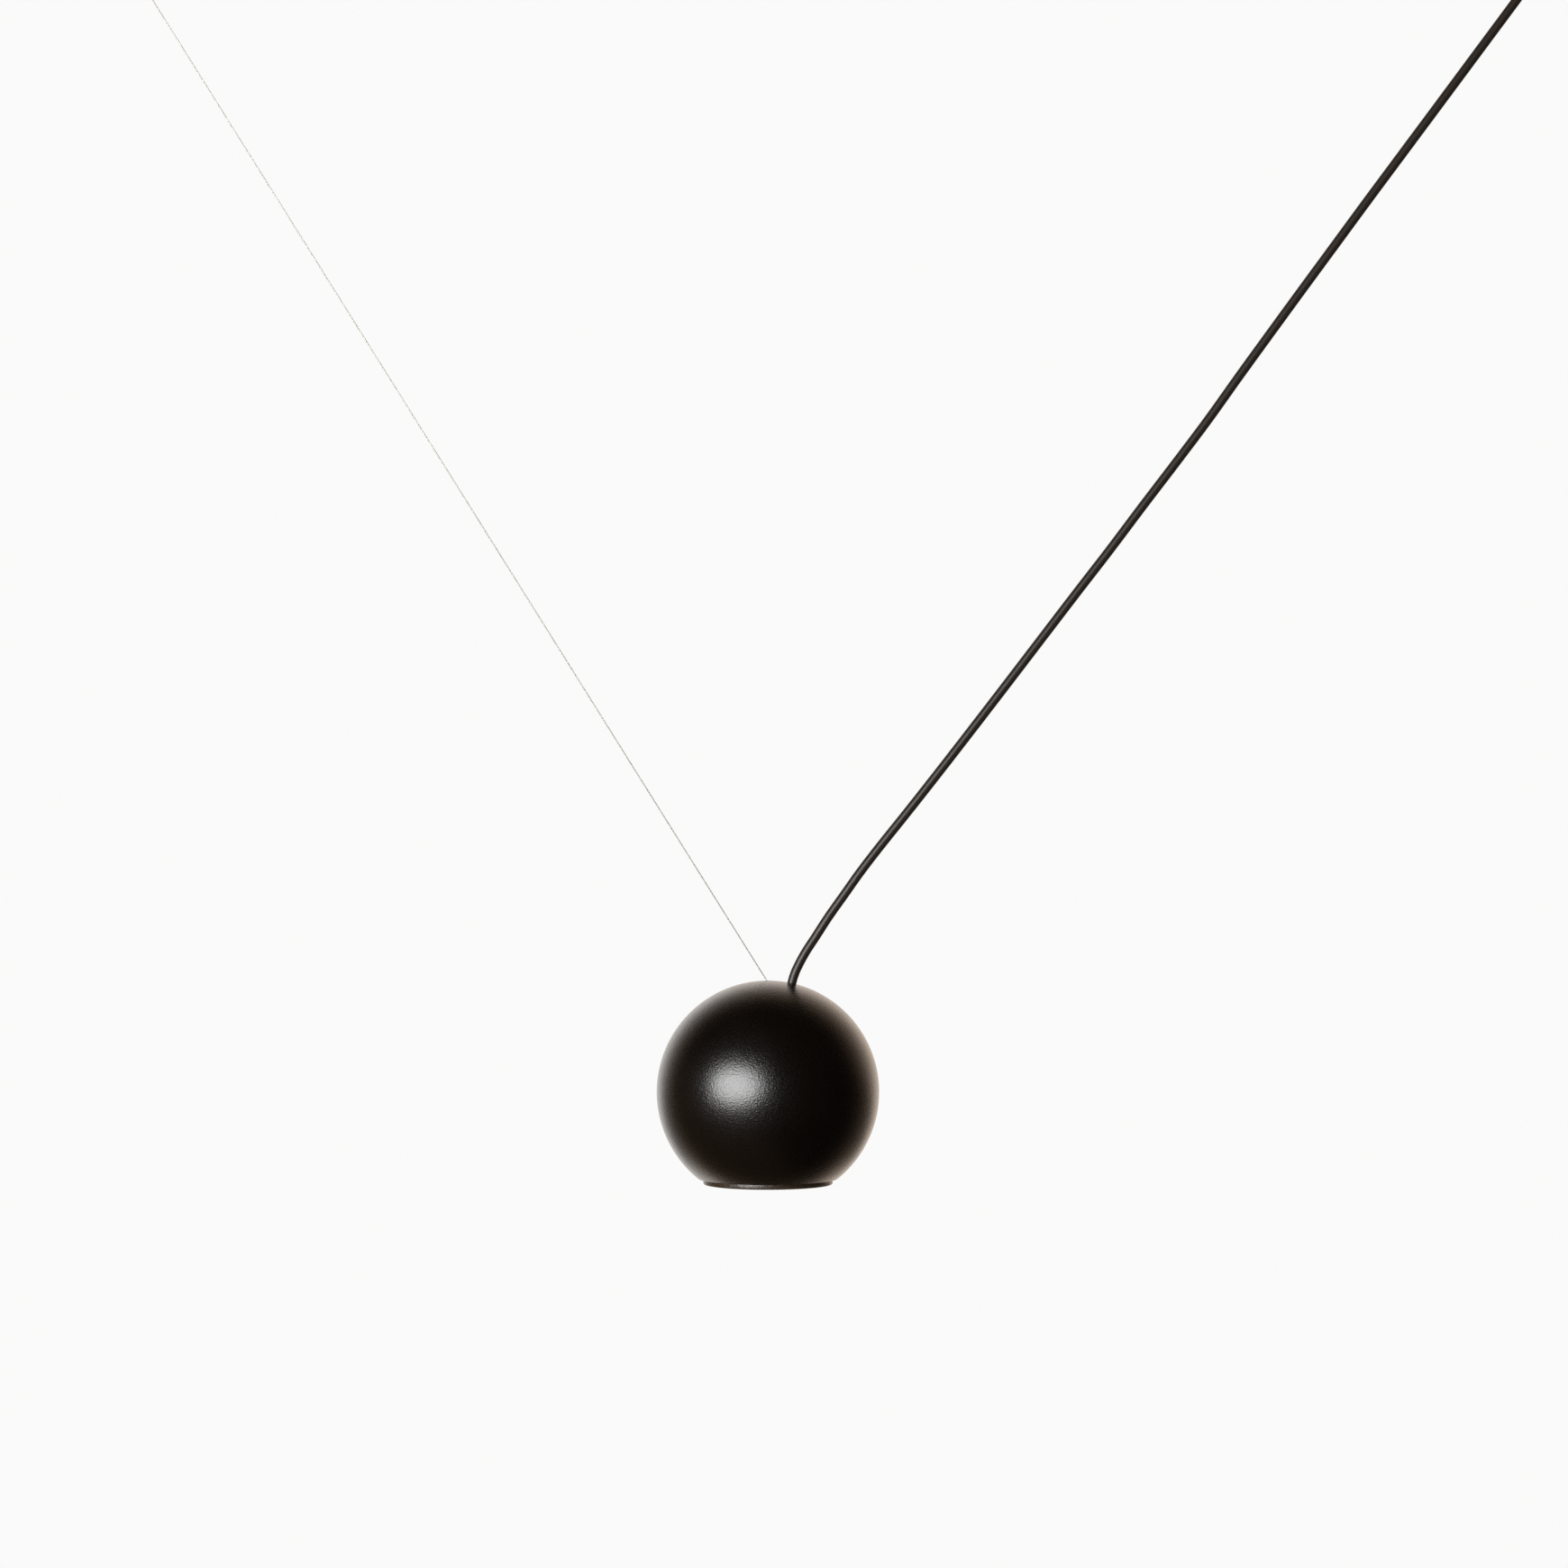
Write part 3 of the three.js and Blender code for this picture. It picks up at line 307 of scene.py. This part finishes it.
bright_steel = surface(
    "bright_steel", (0.57, 0.555, 0.53), (0.48, 0.465, 0.44), 0.36, metallic=1.0,
    tone=160, grain=1400, grain_depth=0.006, stretch=(1, 1, 0.25),
)
wire_steel = surface(
    "wire_rope_steel", (0.90, 0.855, 0.80), (0.79, 0.75, 0.69), 0.5, metallic=1.0,
    tone=60, grain=400, grain_depth=0.004,
)
zinc_steel = surface(
    "zinc_plated_sheet", (0.58, 0.59, 0.60), (0.48, 0.49, 0.49), 0.34, metallic=0.6,
    tone=70, grain=500, grain_depth=0.01, stretch=(1, 0.2, 1),
)
brass = surface(
    "brass", (0.70, 0.50, 0.20), (0.60, 0.41, 0.15), 0.27, metallic=1.0,
    tone=200, grain=1500, grain_depth=0.006,
)
aluminium = surface(
    "turned_aluminium", (0.63, 0.64, 0.65), (0.54, 0.55, 0.56), 0.33, metallic=1.0,
    tone=140, grain=1300, grain_depth=0.008, stretch=(0.3, 0.3, 1),
)
nylon = surface(
    "moulded_nylon", (0.80, 0.78, 0.71), (0.74, 0.72, 0.64), 0.45,
    tone=90, grain=1100, grain_depth=0.012,
)
black_nylon = surface(
    "black_nylon", (0.018, 0.018, 0.019), (0.026, 0.026, 0.027), 0.42,
    tone=120, grain=1300, grain_depth=0.02,
)
ceramic = surface(
    "fired_ceramic", (0.82, 0.79, 0.70), (0.74, 0.70, 0.61), 0.34,
    tone=110, grain=800, grain_depth=0.015, coat=0.3,
)
lamp_plastic = surface(
    "lamp_body_plastic", (0.80, 0.80, 0.79), (0.75, 0.75, 0.735), 0.36,
    tone=90, grain=1200, grain_depth=0.01,
)
lens_plastic = surface(
    "frosted_lens", (0.86, 0.855, 0.83), (0.80, 0.795, 0.77), 0.22,
    tone=150, grain=900, grain_depth=0.02, coat=0.4,
)
board_white = surface(
    "light_board", (0.72, 0.73, 0.74), (0.66, 0.67, 0.68), 0.4, metallic=0.4,
    tone=150, grain=1200, grain_depth=0.01,
)
core_brown = surface(
    "brown_insulation", (0.10, 0.040, 0.018), (0.13, 0.052, 0.024), 0.40,
    tone=250, grain=1500, grain_depth=0.01,
)
core_earth = surface(
    "earth_insulation", (0.16, 0.30, 0.03), (0.55, 0.50, 0.04), 0.40,
    tone=120, grain=1500, grain_depth=0.01,
)
core_blue = surface(
    "blue_insulation", (0.03, 0.10, 0.36), (0.04, 0.13, 0.42), 0.40,
    tone=250, grain=1500, grain_depth=0.01,
)

FINISHES = [
    (black_paint, "canopy_cup anchor_base anchor_socket shade trim_ring"),
    (black_trim, "glare_baffle"),
    (cord_end_black, "power_cord cord_upper_end cord_lower_end"),
    (black_nylon, "gland_body gland_lock_nut gland_cap cord_clamp"),
    (nylon, "gland_collar anchor_pad canopy_terminal_block ball_terminal_block"),
    (zinc_steel, "canopy_plate lamp_bracket"),
    (bright_steel, """
        ball_stud gripper_barrel gripper_spring gripper_plunger grip_ball_1 grip_ball_2
        grip_ball_3 cord_clamp_screw_back cord_clamp_screw_front bracket_screw_back
        bracket_screw_front lampholder_screw_back lampholder_screw_front
    """),
    (wire_steel, "suspension_wire wire_upper_end wire_lower_end"),
    (brass, """
        earth_washer earth_screw gripper_washer wire_nipple lampholder_contact_back
        lampholder_contact_front lamp_pin_back lamp_pin_front
    """),
    (aluminium, "carrier"),
    (ceramic, "lampholder_cap lampholder_body"),
    (lamp_plastic, "lamp_base lamp_housing"),
    (lens_plastic, "lamp_lens"),
    (board_white, "light_board"),
    (core_brown, "upper_brown_core lower_brown_core lampholder_brown_core"),
    (core_earth, "upper_earth_core lower_earth_core"),
    (core_blue, "upper_blue_core lower_blue_core lampholder_blue_core"),
]


def dress_nodes():
    for material, names in FINISHES:
        for name in names.split():
            data = nodes[name].data
            data.materials.clear()
            data.materials.append(material)


def stand_for(piece, node, body):
    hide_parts(node)
    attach(piece, body)


# ---- Cord and wire ----
# Millimetres across and up from the ball's centre, from the bore in the ball to the gland.
CORD_ROUTE = [
    (12.5, 56.84), (13.0, 59.1), (13.65, 61.6), (14.85, 64.9), (16.7, 68.8), (18.7, 72.6),
    (21.5, 77.3), (25.1, 82.7), (32.6, 94.3), (40.9, 106.0), (49.1, 117.6), (58.0, 129.3),
    (76.6, 152.6), (94.9, 175.9), (113.0, 199.3), (130.9, 222.6), (148.7, 245.9),
    (166.6, 269.3), (184.6, 292.6), (202.2, 316.0), (220.0, 339.3), (237.5, 362.6),
    (254.2, 386.0), (271.1, 409.3), (288.1, 432.6), (305.3, 456.0), (322.4, 479.3),
    (339.7, 502.6), (357.1, 526.0), (374.4, 549.3), (391.7, 572.6), (403.8, 588.9),
    (412.0, 600.0), (420.0, 610.7), (422.75, 615.3), (424.4, 620.3), (425.0, 625.6),
    (425.0, 628.6), (425.0, 631.7),
]


def add_cord():
    step, to_canopy, bending = 0.0025, Vector((0, 0, 0.032)), Vector((0, 0, 0.110))
    route = [BALL + Vector((across, 0, up)) * MM for across, up in CORD_ROUTE]
    line = smooth_line(route, step)
    cord = tube("mains_cord", line, CORD_RADIUS, cord_black, sides=32)
    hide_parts("power_cord")
    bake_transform(cord)


def add_wire():
    stub, below_pivot, count = 0.0015, 0.0423, 160
    up = Vector((-math.sin(LEAN), 0, math.cos(LEAN)))
    low = PIVOT - up * (WIRE_LINE - stub)
    high = PIVOT - up * below_pivot
    line = [low.lerp(high, i / count) for i in range(count + 1)]
    wire = tube("steel_wire", line, WIRE_RADIUS, wire_steel, sides=12)
    stand_for(wire, "suspension_wire", "pendant")


# ---- Ball ----
def sector(name, place, bore, radius, middle, width, low, high, material):
    """A slice of a ring, with its angles in degrees."""
    steps = 8
    verts, faces = [], []
    across = steps + 1
    for z in (low, high):
        for r in (bore, radius):
            for j in range(across):
                a = math.radians(middle - width / 2 + width * j / steps)
                verts.append(place @ (Vector((r * math.cos(a), r * math.sin(a), z)) * MM))
    for j in range(steps):
        faces += [
            [j, j + 1, j + 1 + across, j + across],
            [j + 2 * across, j + 3 * across, j + 1 + 3 * across, j + 1 + 2 * across],
            [j, j + 2 * across, j + 1 + 2 * across, j + 1],
            [j + across, j + 1 + across, j + 1 + 3 * across, j + 3 * across],
        ]
    faces += [
        [0, across, 3 * across, 2 * across],
        [steps, steps + 2 * across, steps + 3 * across, steps + across],
    ]
    return new_object(name, verts, faces, material)


def apply_modifiers(obj):
    bpy.context.view_layer.update()
    graph = bpy.context.evaluated_depsgraph_get()
    made = bpy.data.meshes.new_from_object(obj.evaluated_get(graph))
    obj.modifiers.clear()
    old = obj.data
    obj.data = made
    bpy.data.meshes.remove(old)


def combined(obj, tools, operation):
    """The object with each tool cut away or joined on, and the tools removed."""
    for tool in tools:
        step = obj.modifiers.new(operation.lower(), "BOOLEAN")
        step.operation = operation
        step.solver = "EXACT"
        step.object = tool
    apply_modifiers(obj)
    for tool in tools:
        bpy.data.objects.remove(tool)


def true_normals(obj, centre, radius):
    """Corners on a sphere take the sphere's own normal, so that cuts leave no shading marks."""
    on_sphere, faces_out = 2e-6, 0.97
    mesh = obj.data
    flat = [Vector(n.vector) for n in mesh.corner_normals]
    for face in mesh.polygons:
        for corner in face.loop_indices:
            out = mesh.vertices[mesh.loops[corner].vertex_index].co - centre
            away = out.normalized()
            if abs(out.length - radius) < on_sphere and face.normal.dot(away) > faces_out:
                flat[corner] = away
    mesh.normals_split_custom_set(flat)


def meridian(radius, start, end, steps):
    """Profile points on a sphere, between two angles from its top."""
    angles = [start + (end - start) * k / steps for k in range(steps + 1)]
    return [(radius * math.sin(a), radius * math.cos(a)) for a in angles]


def add_shade():
    outer, wall, cut, wire_hole, mouth, lip = 60.0, 1.5, 46.85, 1.25, 32.0, 0.4
    inner = outer - wall
    profile = meridian(outer, math.asin(wire_hole / outer), math.acos(-cut / outer), 72)
    edge, _ = profile.pop()
    profile += [
        (edge + 0.235, 0.2 - cut), (edge + 0.06, 0.05 - cut), (edge - 0.2, -cut),
        (mouth + lip, -cut), (mouth, lip - cut), (mouth, wall - cut),
    ]
    profile += meridian(
        inner, math.acos((wall - cut) / inner), math.asin(wire_hole / inner), 40,
    )
    shell = turned("ball_shell", profile, ON_BALL, black_paint, segments=160, sharp=40)
    bore = [(0, 50), (2.8, 50), (2.8, 66), (0, 66)]
    tools = [turned("bore", bore, ON_CORD_BORE, black_paint, 48, closed=False)]
    tools += [
        sector(f"notch_{k}", ON_BALL, 31.0, 34.3, 120 * k + 30, 22, -50, -44, black_paint)
        for k in range(3)
    ]
    combined(shell, tools, "DIFFERENCE")
    true_normals(shell, BALL, outer * MM)
    stand_for(shell, "shade", "pendant")


def add_trim():
    ring = softened([
        (29.8, -49.8, 0.3), (34.9, -49.8, 0.9), (34.9, -47.0, 0.25), (31.7, -47.0, 0.1),
        (31.7, -40.45, 0.3), (29.8, -40.45, 0.3),
    ], 5)
    # The collar and its lugs wear the coat with painted sheen, a lighter, browner copy of the
    # ball's black paint.
    collar = turned("trim_collar", ring, ON_BALL, collar_coat_painted_sheen, 144)
    lugs = [
        sector(f"lug_{k}", ON_BALL, 30.75, 34.0, 120 * k, 18, -45.05, -43.45, collar_coat_painted_sheen)
        for k in range(3)
    ]
    combined(collar, lugs, "UNION")
    collar.data.set_sharp_from_angle(angle=math.radians(30))
    stand_for(collar, "trim_ring", "trim")


# ---- Lamp and glare baffle, seen through the mouth ----
def add_mouth():
    low, high, ribs, rib_edge, overlap = -49.2, -38.6, 9, 0.35, 0.05
    narrow, widening, groove = 25.9, 2.4, 0.62
    rise = (high - low) / ribs
    inner = [(29.5, low, 0), (29.5, high, 0)]
    for k in range(ribs):
        up = high - rise * k
        bore = narrow + widening * k / ribs
        inner += [(bore, up, 0), (bore, up - rib_edge, 0), (bore + groove, up - rise + overlap, 0)]
    inner.append((28.5, low, 0))
    baffle = turned("ribbed_baffle", softened(inner), ON_BALL, black_trim, 144)
    stand_for(baffle, "glare_baffle", "trim")
    rim = softened([
        (0, -14.6, 0), (0, -13.3, 0), (15.0, -13.3, 0.5), (25.0, -32.95, 0.8), (25.0, -36.45, 0.4),
        (23.7, -36.45, 0.25), (23.7, -34.25, 0), (21.9, -34.25, 0), (13.7, -14.6, 0),
    ], 5)
    housing = turned("lamp_shell", rim, ON_BALL, lamp_plastic, 120, closed=False)
    stand_for(housing, "lamp_housing", "lamp")
    face = [(0, -34.25), (23.4, -34.25), (23.4, -36.1), (23.25, -36.25), (22.2, -36.25)]
    rings, pitch = 16, 1.25
    for k in range(rings):
        near = 22.0 - pitch * k
        face += [(near, -36.12), (near - 1.0, -36.25 + 0.004 * k)]
    face.append((0, -36.15))
    lens = turned("ringed_lens", face, ON_BALL, lens_plastic, 120, closed=False)
    stand_for(lens, "lamp_lens", "lamp")


# ---- Canopy, gland, anchor and gripper, above the view ----
def grips(count, depth, low, high, edge):
    """A ripple that presses count grips between two heights, outside the radius edge."""
    def ripple(a, r, z):
        if r < edge or z < low or z > high:
            return 0
        return -depth * (0.5 + 0.5 * math.cos(count * a))
    return ripple


def six_flats(apothem, low, high, edge):
    """A ripple that cuts six flats on a round flange and leaves its corners round."""
    def ripple(a, r, z):
        if r < edge or z < low or z > high:
            return 0
        turn = (a + math.pi / 6) % (math.pi / 3) - math.pi / 6
        return min(r, apothem / math.cos(turn)) - r
    return ripple


def add_canopy():
    here = Matrix.Identity(4)
    cup = turned("canopy_shell", softened([
        (5.3, -26, 0.3), (45, -26, 4.0), (45, -0.5, 0.45), (43.8, -0.5, 0.3), (43.8, -24.8, 2.8),
        (5.3, -24.8, 0),
    ], 8), here, black_paint, 144)
    lips = [
        sector(f"lip_{k}", here, 40.5, 44.4, 120 * k, 24, -8.1, -6.5, black_paint)
        for k in range(3)
    ]
    combined(cup, lips, "UNION")
    cup.data.set_sharp_from_angle(angle=math.radians(30))
    stand_for(cup, "canopy_cup", "canopy_cover")
    thread = []
    for k in range(7):
        thread += [(5.0, -25.6 + k, 0), (4.75, -25.1 + k, 0)]
    body = turned("gland_stem", softened([
        (2.8, -33, 0.3), (6.0, -33, 0.8), (6.0, -29, 0.2), (8.0, -29, 0.45), (8.0, -26, 0.35),
        (5.0, -26, 0), *thread, (4.75, -18.3, 0), (2.8, -18.3, 0.2),
    ]), here, black_nylon, 120, ripple=six_flats(7.35, -30, -25.9, 7))
    stand_for(body, "gland_body", "canopy_cover")
    cap = turned("gland_nut_cap", softened([
        (2.8, -38, 0.35), (6.3, -38, 0.6), (8.0, -36.3, 0.6), (8.0, -35.6, 0), (8.0, -35.3, 0),
        (8.0, -30.3, 0), (8.0, -30.0, 0), (8.0, -29.3, 0.3), (6.3, -29.3, 0.2), (6.3, -35.8, 0.3),
        (2.8, -35.8, 0.2),
    ]), here, black_nylon, 168, ripple=grips(14, 0.4, -35.4, -30.2, 7.9))
    stand_for(cap, "gland_cap", "gland_nut")


def add_anchor():
    base = turned("anchor_flange", softened([
        (2.2, 0, 0), (17, 0, 0.15), (17, -2.9, 0.4), (15.9, -4, 0.4), (6.5, -4, 0.2),
        (6.5, -26, 0.2), (3.6, -26, 0.3), (3.6, -3, 0), (2.2, -3, 0),
    ]), ON_ANCHOR, black_paint, 120)
    stand_for(base, "anchor_base", "ceiling")
    socket, pivot_height = 5.15, -38
    angles = [math.radians(124 - 34 * k / 8) for k in range(9)]
    seat = [(socket * math.sin(a), pivot_height + socket * math.cos(a), 0) for a in angles]
    nut = turned("anchor_nut", softened([
        (6.8, -4.3, 0.2), (8.7, -4.3, 0.5), (8.7, -6.6, 0), (8.7, -6.8, 0), (8.7, -17.8, 0),
        (8.7, -18.0, 0), (8.7, -36.5, 0.6), (5.2, -41.33, 0.3), *seat, (socket, -26.3, 0),
        (6.8, -26.3, 0),
    ]), ON_ANCHOR, black_paint, 240, ripple=grips(60, 0.22, -17.9, -6.7, 8.6))
    stand_for(nut, "anchor_socket", "ceiling")


def add_gripper():
    ball = [(r, z, 0) for r, z in meridian(5, 0, math.radians(166.1), 24)]
    stud = turned("ball_joint_stud", softened([
        *ball, (1.2, -10, 0.35), (6, -10, 0.5), (6, -13, 0.15), (4, -13, 0), (4, -17, 0.3),
        (0, -17, 0),
    ]), ON_GRIPPER, bright_steel, closed=False)
    stand_for(stud, "ball_stud", "pendant")
    barrel = turned("gripper_sleeve", softened([
        (4.4, -13, 0), (6, -13, 0.15), (6, -14.6, 0.1), (5.7, -14.8, 0), (5.7, -15.4, 0),
        (6, -15.6, 0.1), (6, -34.4, 0.1), (5.7, -34.6, 0), (5.7, -35.2, 0), (6, -35.4, 0.1),
        (6, -37, 0.6), (2.6, -37, 0.3), (2.6, -33, 0), (4.4, -25, 0),
    ]), ON_GRIPPER, bright_steel)
    stand_for(barrel, "gripper_barrel", "pendant")
    plunger = turned("release_button", softened([
        (0.6, -42, 0.2), (3.4, -42, 0.5), (3.4, -41.2, 0), (3.4, -41.1, 0), (3.4, -39.9, 0),
        (3.4, -39.5, 0.15), (2.45, -39.5, 0.1), (2.45, -31.62, 0.2), (0.6, -31.62, 0),
    ], 3), ON_GRIPPER, bright_steel, 144, ripple=grips(28, 0.14, -41.15, -39.8, 3.3))
    stand_for(plunger, "gripper_plunger", "release")


def add_spring():
    """The gripper's coil spring, drawn at rest; the real one shortens as the plunger goes in."""
    top, bottom, middle, bar, coils, steps, sides = -17.7, -27.22, 2.86, 0.38, 7, 36, 12
    count = coils * steps
    verts, faces = [], []
    for i in range(count + 1):
        a = 2 * math.pi * i / steps
        out = Vector((math.cos(a), math.sin(a), 0))
        centre = out * middle + Vector((0, 0, top + (bottom - top) * i / count))
        for k in range(sides):
            b = 2 * math.pi * k / sides
            around = (out * math.cos(b) + Vector((0, 0, math.sin(b)))) * bar
            verts.append(ON_GRIPPER @ ((centre + around) * MM))
    for i in range(count):
        for k in range(sides):
            n = (k + 1) % sides
            faces.append([i * sides + k, i * sides + n, (i + 1) * sides + n, (i + 1) * sides + k])
    faces += [list(range(sides))[::-1], list(range(count * sides, (count + 1) * sides))]
    spring = new_object("coil_spring", verts, faces, bright_steel, 50)
    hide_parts("gripper_spring")
    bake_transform(spring)


# ---- Light and surroundings ----
BACKDROP = (0.955, 0.955, 0.953, 1)


def surroundings(tree, direction):
    """The studio that glossy surfaces show: bright behind the object, above and at its right more
    than below and at its left, with a lit floor far back, brown at its sides, dark in front."""
    def calculate(operation, *values):
        made = add_node(tree, "Math", dict(enumerate(values)), operation=operation)
        return made.outputs["Value"]

    def ramp(value, start, end, low=0.0, high=1.0):
        return add_node(tree, "MapRange", {
            "Value": value, "From Min": start, "From Max": end, "To Min": low, "To Max": high,
        }, interpolation_type="SMOOTHSTEP").outputs["Result"]

    def between(factor, a, b):
        made = add_node(tree, "Mix", {"Factor": factor, "A": a, "B": b}, data_type="RGBA")
        return made.outputs["Result"]

    split = add_node(tree, "SeparateXYZ", {"Vector": direction})
    x, y, z = (split.outputs[axis] for axis in "XYZ")
    low_left = calculate("ADD", x, z)
    low_right = calculate("SUBTRACT", x, z)
    slant = calculate("MULTIPLY_ADD", z, -0.11, calculate("MULTIPLY", x, 0.125))
    slanted = calculate("MULTIPLY_ADD", slant, calculate("SUBTRACT", 1.0, y), y)
    behind = add_node(tree, "MapRange", {"Value": slanted, "From Min": 0.05, "From Max": 0.86})
    back = calculate("POWER", behind.outputs["Result"], 2.9)
    back = calculate("MULTIPLY", back, ramp(low_left, -0.58, -0.95, low=1.0, high=0.62))
    lit_floor = calculate("MULTIPLY", ramp(z, -0.42, -0.62, high=1.5), ramp(y, 0.48, 0.68))
    with_floor = calculate("MULTIPLY_ADD", back, lit_floor, back)
    right_side = ramp(low_right, 0.58, 0.97, low=1.12, high=0.43)
    glow = ramp(low_left, -0.3, -1.1, low=0.005, high=0.048)
    strength = calculate("MULTIPLY_ADD", with_floor, right_side, glow)
    back_tint = between(ramp(x, -0.5, 0.5), (1, 0.96, 0.93, 1), (1, 0.82, 0.68, 1))
    tint = between(ramp(y, 0.3, 0.88), (1, 0.66, 0.44, 1), back_tint)
    return strength, tint


def backdrop_shape():
    """A floor that bends up into a wall behind the object."""
    left, right, front, back, floor, top = -6.5, 5.7, -5.0, 5.0, -4.5, 4.0
    radius, steps = 1.6, 12
    bend = [(front, floor), (back - radius, floor)]
    for k in range(1, steps + 1):
        a = math.pi / 2 * k / steps
        bend.append((back - radius + radius * math.sin(a), floor + radius - radius * math.cos(a)))
    bend.append((back, top))
    verts = [(x, y, z) for y, z in bend for x in (left, right)]
    faces = [[2 * k, 2 * k + 1, 2 * k + 3, 2 * k + 2] for k in range(len(bend) - 1)]
    return verts, faces


def add_surroundings():
    pale = bpy.data.materials.new("studio_paper")
    pale.use_nodes = True
    tree = pale.node_tree
    shader = tree.nodes["Principled BSDF"]
    shader.inputs["Base Color"].default_value = (0.80, 0.80, 0.79, 1)
    shader.inputs["Roughness"].default_value = 0.9
    shader.inputs["Specular IOR Level"].default_value = 0.1
    path = tree.nodes.new("ShaderNodeLightPath")
    place = tree.nodes.new("ShaderNodeNewGeometry")
    away = add_node(tree, "VectorMath", {
        0: place.outputs["Position"], 1: BALL,
    }, operation="SUBTRACT").outputs["Vector"]
    unit = add_node(tree, "VectorMath", {0: away}, operation="NORMALIZE")
    strength, tint = surroundings(tree, unit.outputs["Vector"])
    mirrored = add_node(tree, "Emission", {"Color": tint, "Strength": strength})
    either = add_node(tree, "Math", {
        0: path.outputs["Is Glossy Ray"], 1: path.outputs["Is Transmission Ray"],
    }, operation="MAXIMUM")
    under = add_node(tree, "MixShader", {
        "Fac": either.outputs["Value"], 1: shader.outputs["BSDF"], 2: mirrored.outputs["Emission"],
    })
    # The camera sees an even pale tone with some of the paper's own shading, and so its shadow,
    # which fades out with distance, before the edges of the floor.
    far = add_node(tree, "VectorMath", {0: away}, operation="LENGTH")
    plain = add_node(tree, "MapRange", {
        "Value": far.outputs["Value"], "From Min": 3.9, "From Max": 5.0, "To Min": 0.7,
    }, interpolation_type="SMOOTHSTEP")
    shown = add_node(tree, "Math", {
        0: path.outputs["Is Camera Ray"], 1: plain.outputs["Result"],
    }, operation="MULTIPLY")
    seen = add_node(tree, "Emission", {"Color": BACKDROP})
    mix = add_node(tree, "MixShader", {
        "Fac": shown.outputs["Value"], 1: under.outputs["Shader"], 2: seen.outputs["Emission"],
    })
    tree.links.new(mix.outputs["Shader"], tree.nodes["Material Output"].inputs["Surface"])
    new_object("studio_sweep", *backdrop_shape(), pale, 180)


def add_world():
    world = bpy.data.worlds.new("studio")
    bpy.context.scene.world = world
    world.use_nodes = True
    tree = world.node_tree
    tree.nodes.clear()
    where = tree.nodes.new("ShaderNodeTexCoord")
    path = tree.nodes.new("ShaderNodeLightPath")
    strength, tint = surroundings(tree, where.outputs["Generated"])
    around = add_node(tree, "Background", {"Color": tint, "Strength": strength})
    fill = add_node(tree, "Background", {"Strength": 0.4})
    seen = add_node(tree, "Background", {"Color": BACKDROP})
    matt = add_node(tree, "MixShader", {
        "Fac": path.outputs["Is Diffuse Ray"],
        1: around.outputs["Background"], 2: fill.outputs["Background"],
    })
    mix = add_node(tree, "MixShader", {
        "Fac": path.outputs["Is Camera Ray"],
        1: matt.outputs["Shader"], 2: seen.outputs["Background"],
    })
    add_node(tree, "OutputWorld", {"Surface": mix.outputs["Shader"]})


def area_light(name, place, size, power):
    """An oval light that faces the ball."""
    data = bpy.data.lights.new(name, "AREA")
    data.shape = "ELLIPSE"
    data.size, data.size_y = size
    data.energy = power
    light = bpy.data.objects.new(name, data)
    light.location = place
    light.rotation_mode = "QUATERNION"
    light.rotation_quaternion = (BALL - place).to_track_quat("-Z", "Y")
    light.visible_camera = False
    bpy.context.scene.collection.objects.link(light)


def add_lights():
    distance, surround_behind = 2.4, 1.04
    away = Vector((-0.54, -0.826, 0.157)).normalized() * distance
    area_light("key_softbox", BALL + away, (2.15, 1.32), 34)
    area_light("key_surround", BALL + away * surround_behind, (2.6, 1.75), 20)


bpy.context.scene.view_settings.view_transform = "Standard"
add_camera()
dress_nodes()
add_cord()
add_wire()
add_shade()
add_trim()
add_mouth()
add_canopy()
add_anchor()
add_gripper()
add_spring()
add_surroundings()
add_world()
add_lights()
